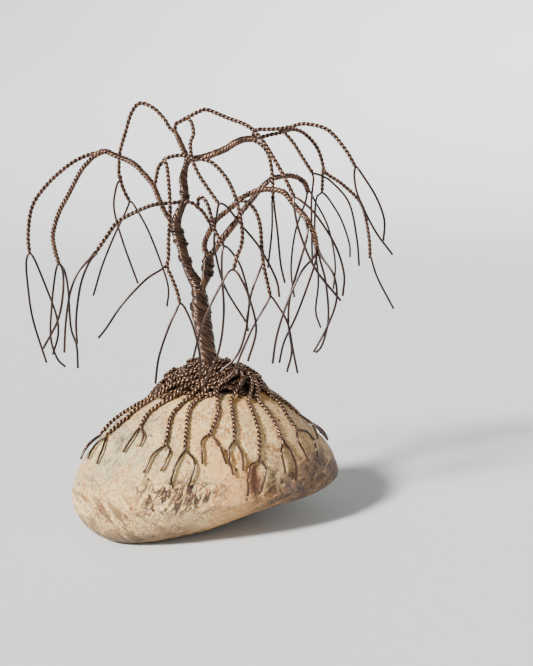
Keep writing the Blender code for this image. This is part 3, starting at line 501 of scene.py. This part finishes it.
class Value:
    """A shader socket that does sums with numbers and other sockets."""

    def __init__(self, tree, socket):
        self.tree = tree
        self.socket = socket

    def sum_of(self, operation, *others):
        made = self.tree.nodes.new("ShaderNodeMath")
        made.operation = operation
        for slot, other in zip(made.inputs, others):
            if isinstance(other, Value):
                self.tree.links.new(other.socket, slot)
            else:
                slot.default_value = other
        return Value(self.tree, made.outputs[0])

    def __add__(self, other):
        return self.sum_of("ADD", self, other)

    def __radd__(self, other):
        return self.sum_of("ADD", other, self)

    def __sub__(self, other):
        return self.sum_of("SUBTRACT", self, other)

    def __rsub__(self, other):
        return self.sum_of("SUBTRACT", other, self)

    def __mul__(self, other):
        return self.sum_of("MULTIPLY", self, other)

    def __rmul__(self, other):
        return self.sum_of("MULTIPLY", other, self)

    def __pow__(self, other):
        return self.sum_of("POWER", self, other)

    def __abs__(self):
        return self.sum_of("ABSOLUTE", self)

    def clipped(self):
        return self.sum_of("MINIMUM", self.sum_of("MAXIMUM", self, 0.0), 1.0)


class Surface:
    """A material and the few ways its nodes are made."""

    def __init__(self, name):
        self.material = bpy.data.materials.new(name)
        self.material.use_nodes = True
        self.tree = self.material.node_tree
        self.shader = self.tree.nodes["Principled BSDF"]
        self.place = self.node("ShaderNodeTexCoord").outputs["Object"]

    def node(self, kind, settings=None, **sockets):
        made = self.tree.nodes.new(kind)
        for name, value in (settings or {}).items():
            setattr(made, name, value)
        for name, value in sockets.items():
            self.feed(made.inputs[name.replace("_", " ")], value)
        return made

    def feed(self, socket, value):
        if isinstance(value, Value):
            value = value.socket
        if isinstance(value, bpy.types.NodeSocket):
            self.tree.links.new(value, socket)
        elif socket.type == "RGBA" and len(value) == 3:
            socket.default_value = (*value, 1.0)
        else:
            socket.default_value = value

    def value(self, socket):
        return Value(self.tree, socket)

    def grain(self, scale, detail=3.0, roughness=0.5, stretch=None, distortion=0.0):
        """Noise from 0 to 1, at so many grains a metre."""
        place = self.place
        if stretch:
            place = self.node("ShaderNodeMapping", {"vector_type": "TEXTURE"}, Vector=place, Rotation=stretch[0],
                              Scale=stretch[1]).outputs[0]
        made = self.node("ShaderNodeTexNoise", Vector=place, Scale=scale, Detail=detail, Roughness=roughness,
                         Distortion=distortion)
        return self.value(made.outputs["Fac"])

    def band(self, value, low, high):
        """0 below low, 1 above high and an even slope between."""
        made = self.node("ShaderNodeMapRange", {"interpolation_type": "SMOOTHSTEP"})
        self.feed(made.inputs["Value"], value)
        made.inputs["From Min"].default_value = low
        made.inputs["From Max"].default_value = high
        return self.value(made.outputs["Result"])

    def mix(self, share, first, second):
        made = self.tree.nodes.new("ShaderNodeMix")
        made.data_type = "RGBA"
        self.feed(made.inputs["Factor"], share)
        self.feed(made.inputs[6], first)
        self.feed(made.inputs[7], second)
        return made.outputs[2]

    def axis(self, name):
        made = self.node("ShaderNodeSeparateXYZ", Vector=self.place)
        return self.value(made.outputs[name])

    def bump(self, height, strength, distance):
        made = self.node("ShaderNodeBump", Height=height, Strength=strength, Distance=distance)
        self.feed(self.shader.inputs["Normal"], made.outputs["Normal"])


def copper(name, groove, skin, warm, crest, highlight_strength):
    """Aged copper wire: painted shade, with some patina, makes it near black in the grooves of a twist, and a
    painted highlight, broken by noise, brightens its crests.
    """
    surface = Surface(name)
    out = surface.value(surface.node("ShaderNodeAttribute", {"attribute_name": "crest"}).outputs["Fac"])
    patches = surface.band(surface.grain(130.0, 2.0), 0.40, 0.62)
    highlight_breaks = surface.band(surface.grain(800.0, 3.0, 0.6), 0.40, 0.60)
    # Painted shade, with some patina: near black in the grooves of a twist
    colour = surface.mix(surface.band(out, 0.0, 0.35), groove, surface.mix(patches, skin, warm))
    # Painted highlight: the crest colour along the crests, broken by noise
    colour = surface.mix(surface.band(out, 0.45, 0.95) * (highlight_strength * (0.35 + 0.65 * highlight_breaks)), colour, crest)
    inputs = surface.shader.inputs
    surface.feed(inputs["Base Color"], colour)
    inputs["Metallic"].default_value = 0.65
    inputs["Coat Weight"].default_value = 0.12
    inputs["Coat Roughness"].default_value = 0.2
    surface.feed(inputs["Roughness"], 0.20 + 0.18 * surface.grain(420.0, 2.0))
    surface.bump(surface.grain(2600.0, 2.0), 0.25, 0.00004)
    return surface.material


def pebble():
    """Worn stone: cream and tan, a scratched grey-green shoulder, peach patches, brown stains and specks, and
    painted shade on its right end and along its underside.
    """
    surface = Surface("pebble_stone")
    x, z = surface.axis("X"), surface.axis("Z")
    band, grain = surface.band, surface.grain
    broad = grain(75.0, 3.0, 0.5)
    blotch = grain(190.0, 5.0, 0.65, distortion=0.5)
    mottle = grain(620.0, 6.0, 0.78, distortion=0.7)
    fine = grain(1700.0, 5.0, 0.8)
    edge = 0.018 * (blotch - 0.5)
    rising = grain(330.0, 6.0, 0.8, ((0.0, -0.6, 0.25), (4.0, 3.0, 0.9)), 1.0)
    falling = grain(420.0, 6.0, 0.8, ((0.0, 0.9, 0.2), (3.5, 2.5, 0.7)), 0.8)
    tone = band(blotch * 0.4 + mottle * 0.6, 0.42, 0.54)
    colour = surface.mix(tone, (0.60, 0.26, 0.070), (1.0, 0.65, 0.24))

    def over(share, paint):
        nonlocal colour
        colour = surface.mix(share, colour, paint)

    over(band(fine, 0.50, 0.56) * 0.65, (1.0, 0.84, 0.53))
    middle = band(x + edge, -0.006, 0.008)
    warm = band(broad, 0.48, 0.57) * (0.15 + 0.45 * middle)
    over(warm.clipped(), (0.93, 0.43, 0.12))
    shoulder = (1.0 - band(x + edge, -0.012, 0.0)) * band(z + edge - 0.2 * x, 0.015, 0.021)
    over(shoulder * band(rising, 0.38, 0.54) * 0.7, (0.50, 0.44, 0.27))
    over(shoulder * band(rising, 0.54, 0.60) * 0.7, (0.15, 0.14, 0.075))
    crest = band(z + edge, 0.020, 0.027) * middle
    over(crest * band(mottle, 0.46, 0.58) * 0.6, (0.34, 0.19, 0.085))
    # The right end, darker tan, and its lower part, streaked dark brown and mottled near black: real stains, with
    # painted shade where the stone turns away from the light
    right = band(x + edge, 0.004, 0.015) * (1.0 - band(z + 1.5 * edge, 0.012, 0.020))
    over(band(x + 0.6 * edge, 0.008, 0.024) * 0.6, (0.50, 0.25, 0.085))
    over(right * band(rising, 0.38, 0.50) * 0.9, (0.11, 0.05, 0.022))
    over(right * band(mottle, 0.46, 0.56) * 0.85, (0.035, 0.018, 0.010))
    centre = (1.0 - band(abs(x + 0.005 + edge), 0.004, 0.011)) * (
        1.0 - band(abs(z - 0.0115 + 0.4 * edge), 0.002, 0.006))
    feather = grain(620.0, 6.0, 0.8, ((0.0, -1.1, 0.3), (2.4, 1.5, 0.8)), 1.4)
    over((centre * band(feather, 0.48, 0.52)).clipped(), (0.055, 0.022, 0.008))
    left_low = (1.0 - band(x + edge, -0.014, -0.002)) * (1.0 - band(z, 0.008, 0.015))
    over(left_low * band(falling, 0.52, 0.56) * 0.85, (0.16, 0.075, 0.03))
    # Darker towards the bottom: painted shade of the underside, broken by mottle
    low = 1.0 - band(z + 0.5 * edge, 0.0, 0.009)
    over(low * band(mottle, 0.36, 0.52) * 0.9, (0.085, 0.042, 0.020))
    spot = ((x - 0.0101 + 0.2 * edge) * 620.0) ** 2.0 + ((z - 0.0140 + 0.3 * edge) * 350.0) ** 2.0
    blurred = spot + 3.0 * (mottle - 0.5)
    over((1.0 - band(blurred, 0.3, 1.1)) * 0.9, (0.19, 0.06, 0.028))
    over((1.0 - band(fine, 0.38, 0.43)) * 0.85, (0.17, 0.075, 0.025))
    specks = band(grain(1000.0, 2.0, 0.5), 0.66, 0.71)
    over(specks * 0.85, (0.05, 0.025, 0.012))
    surface.feed(surface.shader.inputs["Base Color"], colour)
    surface.feed(surface.shader.inputs["Roughness"], 0.42 + 0.3 * mottle)
    surface.bump(mottle * 0.6 + fine * 0.4 + rising * 0.3, 1.0, 0.0016)
    return surface.material


def stone_shape():
    """The pebble's fine surface, in mm: the solid's form with worn dents and small pits."""
    middle = Vector((*STONE_CENTRE, STONE_WAIST))
    bpy.ops.mesh.primitive_uv_sphere_add(segments=STONE_SEGMENTS, ring_count=STONE_RINGS, radius=1.0)
    thing = bpy.context.object
    thing.name = thing.data.name = "pebble"
    for vertex in thing.data.vertices:
        out = vertex.co.normalized()
        place = stone_point(math.atan2(out.y, out.x) + STONE_TURN, math.acos(max(-1.0, min(1.0, out.z))))
        worn = DENT_DEPTH * noise.fractal(place * DENTS_PER_MM, 0.9, 2.1, 4) - DENT_LEVEL
        pit = max(0.0, noise.noise(place * PITS_PER_MM) - PIT_START) * PIT_DEPTH
        place = place + (place - middle).normalized() * (worn - pit)
        vertex.co = (place.x, place.y, max(place.z, 0.0))
    thing.data.shade_smooth()
    return thing


def lay(route, ground, lift=0.0):
    """Moves each point of a sampled route out to rest on the stone."""
    laid = []
    for place, width in route:
        foot, normal, _, _ = ground.find_nearest(place)
        laid.append((foot + normal * (width / 2 + STONE_CLEARANCE + lift), width))
    return laid


def shown_on(ground, across, up, depth=None):
    """Where the line of sight through a point of the trunk's plane meets the stone. With a depth, or when
    it misses, the place on the stone nearest to the point seen there."""
    if depth is None:
        foot = ground.ray_cast(EYE, (Vector((across, 0.0, up)) - EYE).normalized())[0]
        if foot is not None:
            return foot
        depth = STONE_CENTRE[1]
    return ground.find_nearest(seen(across, up, depth))[0]


def stone_top(ground, x, y):
    """Height of the stone at a point of the plan."""
    return ground.ray_cast(Vector((x, y, OVERHEAD)), DOWN)[0].z


def mat_point(share, angle):
    """Point of the plan at a share of the mat's reach, at an angle about the trunk."""
    return MAT_REACH[0] * share * math.cos(angle), MAT_REACH[1] * share * math.sin(angle)


def mat_height(ground, x, y, sink=0.0):
    """Top of the mat of roots over a point of the plan."""
    share = math.hypot(x / MAT_REACH[0], y / MAT_REACH[1])
    crown = max(0.0, min(1.0, 1.0 - (share - MAT_CROWN) / (1.0 - MAT_CROWN)))
    rim = stone_top(ground, x, y) + MAT_RIM
    return rim + (MAT_TOP - rim) * crown ** MAT_DOME - sink


def tip_paths(wires, tips):
    """Runs each wire of a strand on into its own loose tip."""
    paths = []
    for wire, tip in zip(wires, tips):
        ahead = [wire[-TIP_JOIN], wire[-1]] + [seen(*point) for point in tip]
        ahead = smooth_route([(place, WIRE) for place in ahead], TIP_STEP)
        paths.append(wire[:-TIP_JOIN] + [place for place, _ in ahead])
    return paths + wires[len(tips):]


def limb_route(name):
    width, points, _ = LIMBS[name]
    coarse = [(seen(*point[:3]), point[3] if len(point) > 3 else width) for point in points]
    return smooth_route(coarse, FINE_STEP)


def build_limb(name, surface):
    """The wires of one limb: a single loose wire, or a twisted strand that runs on into its tips."""
    width, points, tips = LIMBS[name]
    route = limb_route(name)
    count = max(WIRES[width], len(tips))
    if count == 1:
        paths = [[place for place, _ in smooth_route([(seen(*point), width) for point in points], TIP_STEP)]]
        return dress(wire_mesh(name + "_wire", paths, TIP_SIDES), surface, "branch_copper", name)
    end = route[-1][0]
    facing = seen(*tips[0][0]) - end if tips else None
    wires = twisted(route, count, TURN[count], facing, WANDER if count > MOST_SKIN else 0.0)
    if len(tips) > 1:
        wires = matched(wires, [seen(*tip[0]) for tip in tips])
    paths = tip_paths(wires, tips)
    if count > MOST_SKIN:
        paths.append([place for place, _ in route])
    return dress(wire_mesh(name + "_wires", paths, axes=axes_of(route, count)), surface, "branch_copper", name)


def matched(wires, firsts):
    """Puts the wires in the order of the tips that they end nearest to."""
    left = list(wires)
    ordered = []
    for first in firsts:
        if left:
            nearest = min(left, key=lambda wire: (wire[-1] - first).length)
            left.remove(nearest)
            ordered.append(nearest)
    return ordered + left


def wrapped(route, start, turns, lift, tilt):
    """A wire wound round a limb, a few close turns from a length along it."""
    pairs = frames_along(route)
    lengths = [0.0]
    for here, ahead in zip(route, route[1:]):
        lengths.append(lengths[-1] + (ahead[0] - here[0]).length)
    path = []
    steps = turns * WRAP_STEPS
    for k in range(steps + 1):
        at = start + turns * WIRE * WRAP_PITCH * k / steps
        i = next(n for n, length in enumerate(lengths) if length > at)
        across, up = pairs[i]
        angle = -2 * math.pi * turns * k / steps
        out = across * math.cos(angle) + up * math.sin(angle)
        path.append(route[i][0] + out * (route[i][1] / 2 + lift) + across.cross(up) * tilt * math.sin(angle))
    return path


# Stretches of the trunk by length, with the wires in its skin, and the close turns wound over it and over
# the right bough: where they start, how many, how far out and how far aslant
TRUNK_STRETCHES = ((0.0, 18.4, 15), (17.2, 31.0, 10), (30.0, 44.5, 7), (43.5, 60.0, 4))
TRUNK_WRAPS = ((1.6, 2, 0.1, 0.7), (13.4, 2, 0.1, 0.9), (16.2, 2, 0.1, 0.8), (24.6, 2, 0.12, 0.7),
               (28.4, 1, 0.12, 0.8), (30.8, 2, 0.12, 0.6), (38.5, 2, 0.05, 0.4))
BOUGH_WIRES = 10
BOUGH_WRAPS = ((4.6, 2, 0.08, 0.6), (6.4, 1, 0.08, 0.5))
WRAP_PITCH = 1.1
WRAP_STEPS = 20
# The trunk runs on down into the mat, to here (across, up, depth), as wide as this
TRUNK_FOOT = ((-0.1, 32.2, 0), 3.6)
# How far the heart of a bundle lies inside its skin, its least radius, and how far out its surface counts
# as lying, in mm, which gives it part of the groove colour, painted shade with some patina
HEART_SHRINK = 0.25
HEART_LEAST = 0.05
HEART_DEPTH = 0.05


def build_trunk(surface):
    route = limb_route("trunk")
    point, width = TRUNK_FOOT
    route = smooth_route([(seen(*point), width), route[0]], FINE_STEP)[:-1] + route
    paths = []
    for start, stop, count in TRUNK_STRETCHES:
        paths += twisted(part_of(route, start, stop), count, TURN[count], wander=WANDER)
    paths += [wrapped(route, *wrap) for wrap in TRUNK_WRAPS]
    axes = axes_of(route, TRUNK_STRETCHES[0][2])
    dress(wire_mesh("trunk_wires", paths, axes=axes), surface, "trunk_copper", "trunk")
    heart("trunk_heart", route, surface)


def heart(name, route, surface):
    """A heart inside a thick bundle, so that no light shows between its wires, darkened with part of the groove
    colour, painted shade with some patina.
    """
    kept = [(place, max(HEART_LEAST, width / 2 - HEART_SHRINK)) for place, width in route[::3] + route[-1:]]
    mesh = round_mesh(name, [kept], 1.0, HEART_SIDES)
    thing = shown(name, mesh, [(place, radius - HEART_DEPTH) for place, radius in kept])
    return dress(thing, surface, "trunk_copper")


def build_right_bough(surface):
    route = limb_route("right_bough")
    paths = twisted(route, BOUGH_WIRES, TURN[BOUGH_WIRES], wander=WANDER)
    paths += [wrapped(route, *wrap) for wrap in BOUGH_WRAPS]
    axes = axes_of(route, BOUGH_WIRES)
    dress(wire_mesh("right_bough_wires", paths, axes=axes), surface, "trunk_copper", "right_bough")
    heart("right_bough_heart", route, surface)


# How far the loose ends of the roots arch off the stone, in mm, and how much of an arch each runs through
ROOT_SPRING = 0.4
ROOT_SPRINGS = {"front_root_1": 0.7, "front_root_12": 1.1}
ROOT_ARCH = 0.8 * math.pi
# Where a root lies over the mat: share of its reach, and how far round from its own bearing, in radians
ROOT_SWINGS = ((0.55, 0.8), (0.72, 0.4), (0.88, 0.1))
# How far beyond the mat's reach a root comes down to the stone, in mm
ROOT_LANDING = 0.5


def root_start(ground, towards):
    """Places of a root over the mat: from the trunk's foot, round and out to the rim."""
    angle = math.atan2(towards.y / MAT_REACH[1], towards.x / MAT_REACH[0])
    places = []
    for share, swing in ROOT_SWINGS:
        x, y = mat_point(share, angle + swing)
        places.append(Vector((x, y, mat_height(ground, x, y))))
    return places


def build_root(name, stem, tips, ground, surface):
    """The pair of wires of one root, over the mat and down the stone to its two loose ends."""
    over = [(place, ROOT_WIDTH) for place in root_start(ground, stem[0])]
    clear = [reach + ROOT_LANDING for reach in MAT_REACH]
    down = [item for item in lay(smooth_route([(place, ROOT_WIDTH) for place in stem], FINE_STEP), ground)
            if math.hypot(item[0].x / clear[0], item[0].y / clear[1]) > 1.0]
    route = smooth_route(over + [down[ROOT_FREE]], FINE_STEP)[:-1] + down[ROOT_FREE:]
    wires = twisted(route, 2, TURN[2], tips[0][0] - route[-1][0])
    wires = matched(wires, [tip[0] for tip in tips])
    paths = []
    for wire, tip in zip(wires, tips):
        ahead = smooth_route([(place, WIRE) for place in (wire[-ROOT_JOIN], wire[-1], *tip)], ROOT_TIP_STEP)
        path = wire[:-ROOT_JOIN] + [place for place, _ in ahead[:ROOT_FREE]]
        laid = ahead[ROOT_FREE:]
        for i, (place, _) in enumerate(laid):
            foot, normal, _, _ = ground.find_nearest(place)
            spring = ROOT_SPRINGS.get(name, ROOT_SPRING) * math.sin(ROOT_ARCH * (i + 1) / len(laid))
            path.append(foot + normal * (WIRE / 2 + STONE_CLEARANCE + spring))
        paths.append(path)
    return dress(wire_mesh(name + "_wires", paths, axes=axes_of(route, 2)), surface, "root_copper", name)


def build_roots(ground, surface):
    for number, (stem, *tips) in enumerate(FRONT_ROOTS):
        places = [shown_on(ground, *point) for point in stem]
        ends = [[shown_on(ground, *point) for point in tip] for tip in tips]
        build_root(f"front_root_{number + 1}", places, ends, ground, surface)
    for number, (leaving, bearing) in enumerate(BACK_ROOTS):
        turn = math.radians(bearing)
        out = Vector((*mat_point(1.0, math.radians(leaving)), STONE_WAIST + STONE_TOP))
        places = [ground.find_nearest(out)[0]]
        places += [stone_point(turn, math.radians(fall)) for fall in BACK_ROOT_FALLS]
        ends = [[stone_point(turn + side * math.radians(BACK_FORK_SPREAD), math.radians(BACK_TIP_FALL))]
                for side in (-1, 1)]
        build_root(f"back_root_{number + 1}", places, ends, ground, surface)


# Strands that wind round the mat: how many, share of its reach where they start and how far out they go,
# turning in radians, layer in mm, and how far they stray by share and in mm
MAT_WINDINGS = 18
WINDING_FIRST = (0.15, 0.8)
WINDING_SPREAD = (-0.2, 0.5)
WINDING_SWEEP = (1.1, 2.6)
WINDING_LAYER = (-1.0, 0.0)
WINDING_STRAY = 0.08
WINDING_ROLL = 1.1
# Short strands over the mat: how many, length in mm, share of its reach at their middles, spread of headings
# in radians, layer, bend and fall to the ends in mm, share to stay within, and steps
MAT_CHORDS = 40
CHORD_REACH = (4.0, 9.5)
CHORD_MIDDLE = (0.25, 0.88)
CHORD_HEADINGS = 0.75
CHORD_LAYER = (-0.6, 0.45)
CHORD_BEND = 1.8
CHORD_FALL = 2.0
CHORD_EDGE = 0.97
CHORD_STEPS = 5
# Small knots of strand on its shoulders (x, y, radius), and the turn in radians, number and rise of their points
MAT_KNOTS = ((2.9, -0.4, 1.1), (6.3, 0.6, 1.3), (9.4, 0.2, 1.2), (-2.9, 0.2, 1.1), (-7.6, -0.6, 1.2),
             (1.2, 3.6, 1.3))
KNOT_TURN = 0.75
KNOT_POINTS = 11
KNOT_RISE = 0.1
RIM_WAVE = 0.05
# The bed under the mat: share of its reach, depth under its top and into the stone in mm, and divisions
BED_SHARE = 0.84
BED_SINK = 2.0
BED_FOOT = 0.2
BED_GRID = 40


def over_mat(ground, x, y, lift):
    """A point of the mat, so far over its mean top. The rim is uneven and runs out further to the left."""
    bearing = math.atan2(y, x)
    reach = 1.0 + RIM_WAVE * math.sin(3 * bearing + 0.6) + RIM_WAVE * math.sin(7 * bearing)
    x *= reach * (MAT_LEFT_REACH if x < 0 else 1.0)
    y *= reach
    return Vector((x, y, mat_height(ground, x, y) + lift)), WIRE * 2


def winding(ground, chance, number):
    """A strand that winds round the mat, outward."""
    first = chance.uniform(*WINDING_FIRST)
    last = min(1.0, max(0.2, first + chance.uniform(*WINDING_SPREAD)))
    sweep = chance.choice((-1, 1)) * chance.uniform(*WINDING_SWEEP) / max(0.45, first)
    start = chance.uniform(0.0, 2 * math.pi)
    layer = chance.uniform(*WINDING_LAYER)
    steps = 4 + int(abs(sweep) * 3.5)
    route = []
    for k in range(steps + 1):
        t = k / steps
        angle = start + sweep * t
        stray = noise.noise(Vector((number * 7.3, t * sweep * 1.7, 0.5)))
        share = first + (last - first) * t + WINDING_STRAY * stray
        lift = layer + WINDING_ROLL * noise.noise(Vector((t * sweep * 1.9, number * 3.7, 2.5)))
        route.append(over_mat(ground, *mat_point(share, angle), lift))
    return route


def chord(ground, chance, number):
    """A short strand that lies over the mat, more often along it than across."""
    reach = chance.uniform(*CHORD_REACH)
    heading = chance.gauss(0.0, CHORD_HEADINGS)
    middle = Vector(mat_point(chance.uniform(*CHORD_MIDDLE), chance.uniform(0.0, 2 * math.pi)))
    layer = chance.uniform(*CHORD_LAYER)
    route = []
    for k in range(CHORD_STEPS + 1):
        t = k / CHORD_STEPS - 0.5
        bend = CHORD_BEND * noise.noise(Vector((number * 2.9, t * 3.0, 7.5)))
        x = middle.x + reach * t * math.cos(heading) - bend * math.sin(heading)
        y = middle.y + reach * t * math.sin(heading) + bend * math.cos(heading)
        out = math.hypot(x / MAT_REACH[0], y / MAT_REACH[1])
        if out > CHORD_EDGE:
            x, y = x * CHORD_EDGE / out, y * CHORD_EDGE / out
        roll = noise.noise(Vector((t * 4.0, number * 3.1, 4.5)))
        route.append(over_mat(ground, x, y, layer - CHORD_FALL * t * t + roll))
    return route


def build_mat(ground, surface):
    chance = random.Random(11)
    routes = [winding(ground, chance, number) for number in range(MAT_WINDINGS)]
    routes += [chord(ground, chance, number) for number in range(MAT_CHORDS)]
    for number, (x, y, radius) in enumerate(MAT_KNOTS):
        turns = [number + k * KNOT_TURN for k in range(KNOT_POINTS)]
        routes.append([over_mat(ground, x + radius * math.cos(angle), y + radius * math.sin(angle), KNOT_RISE * k)
                       for k, angle in enumerate(turns)])
    paths, axes = [], []
    for route in routes:
        strand = smooth_route(route, FINE_STEP)
        paths += twisted(strand, 2, TURN[2])
        axes += axes_of(strand, 2)
    dress(wire_mesh("root_mat_wires", paths, axes=axes), surface, "root_copper", "root_mat")


def mat_bed(ground, surface):
    """Dark wires deep in the mat, as one low mound under the windings."""
    bpy.ops.mesh.primitive_grid_add(x_subdivisions=BED_GRID, y_subdivisions=BED_GRID, size=2.0)
    thing = bpy.context.object
    thing.name = thing.data.name = "mat_bed"
    shape = bmesh.new()
    shape.from_mesh(thing.data)
    for vertex in shape.verts:
        u, v = vertex.co.x, vertex.co.y
        x = u * math.sqrt(1 - v * v / 2) * MAT_REACH[0] * BED_SHARE
        y = v * math.sqrt(1 - u * u / 2) * MAT_REACH[1] * BED_SHARE
        vertex.co = (x, y, mat_height(ground, x, y, BED_SINK))
    lower = bmesh.ops.extrude_face_region(shape, geom=shape.faces[:])
    for vertex in (item for item in lower["geom"] if isinstance(item, bmesh.types.BMVert)):
        vertex.co.z = stone_top(ground, vertex.co.x, vertex.co.y) - BED_FOOT
    bmesh.ops.recalc_face_normals(shape, faces=shape.faces)
    bmesh.ops.scale(shape, vec=(MM, MM, MM), verts=shape.verts)
    shape.to_mesh(thing.data)
    shape.free()
    thing.data.shade_smooth()
    mark_crests(thing.data, [])
    dress(thing, surface, "root_copper")


# Floor and the rim that it sweeps up into: radius and height in metres, and its drop below the stone's foot
SWEEP = ((1.2, 0.0), (1.5, 0.02), (1.8, 0.10), (2.05, 0.26), (2.2, 0.46), (2.25, 0.66))
SWEEP_STEPS = 96
FLOOR_DROP = 0.0001
# Lamps: the way to each, its spread in degrees and its strength
LAMPS = (("window", (-0.72, -0.66, 0.66), 9.0, 11.5), ("fill", (0.6, -0.7, 0.45), 60.0, 0.5))


def studio():
    """Pale floor with a soft rim, soft light and the camera at the eye."""
    shape = bmesh.new()
    turns = [2 * math.pi * step / SWEEP_STEPS for step in range(SWEEP_STEPS)]
    rings = [[shape.verts.new((radius * math.cos(turn), radius * math.sin(turn), height - FLOOR_DROP))
              for turn in turns] for radius, height in SWEEP]
    shape.faces.new(rings[0])
    for ring, wider in zip(rings, rings[1:]):
        for step in range(SWEEP_STEPS):
            shape.faces.new((ring[step - 1], wider[step - 1], wider[step], ring[step]))
    mesh = bpy.data.meshes.new("floor")
    shape.to_mesh(mesh)
    shape.free()
    mesh.shade_smooth()
    floor = linked("floor", mesh)
    paint = Surface("floor_paint")
    paint.shader.inputs["Base Color"].default_value = (0.59, 0.595, 0.585, 1.0)
    paint.shader.inputs["Roughness"].default_value = 0.7
    floor.data.materials.append(paint.material)
    world = bpy.data.worlds.new("studio")
    bpy.context.scene.world = world
    world.use_nodes = True
    sky = world.node_tree.nodes["Background"].inputs
    sky["Color"].default_value = (0.90, 0.91, 0.92, 1.0)
    sky["Strength"].default_value = 0.4
    for name, towards, spread, power in LAMPS:
        lamp = bpy.data.lights.new(name, "SUN")
        lamp.angle = math.radians(spread)
        lamp.energy = power
        linked(name, lamp).rotation_euler = Vector(towards).to_track_quat("Z", "Y").to_euler()
    camera = bpy.data.cameras.new("eye")
    camera.sensor_width = FILM
    camera.lens = FOCAL_PIXELS / PICTURE_HEIGHT * FILM
    camera.clip_start = 0.01
    holder = linked("eye", camera)
    holder.location = EYE * MM
    holder.rotation_euler = (math.pi / 2 - TILT, 0.0, 0.0)
    bpy.context.scene.camera = holder


def build():
    studio()
    # Four copies of one aged copper, with painted light and shade: the roots' copy is lighter as they face the
    # light, the trunk's and the branches' are darker as they stand against it, and the mat's is darker in its
    # tangle
    dark = copper("copper_shaded_dark", (0.007, 0.004, 0.003), (0.022, 0.012, 0.008), (0.050, 0.025, 0.014),
                  (0.17, 0.088, 0.048), 0.55)
    brown = copper("copper_shaded_brown", (0.003, 0.0016, 0.0012), (0.014, 0.0065, 0.005), (0.042, 0.018, 0.011),
                   (0.27, 0.145, 0.088), 0.65)
    warm = copper("copper_lit_warm", (0.005, 0.003, 0.002), (0.036, 0.018, 0.010), (0.085, 0.042, 0.023),
                  (0.30, 0.170, 0.097), 0.7)
    deep = copper("copper_shaded_deep", (0.005, 0.003, 0.002), (0.026, 0.013, 0.008), (0.062, 0.031, 0.017),
                  (0.24, 0.130, 0.072), 0.6)
    stone = stone_shape()
    shape = bmesh.new()
    shape.from_mesh(stone.data)
    ground = BVHTree.FromBMesh(shape)
    shape.free()
    for vertex in stone.data.vertices:
        vertex.co *= MM
    dress(stone, pebble(), "pebble", "stone")
    mat_bed(ground, deep)
    build_mat(ground, deep)
    build_roots(ground, warm)
    build_trunk(dark)
    build_right_bough(dark)
    for name in LIMBS:
        if name not in ("trunk", "right_bough"):
            build_limb(name, brown)


build()
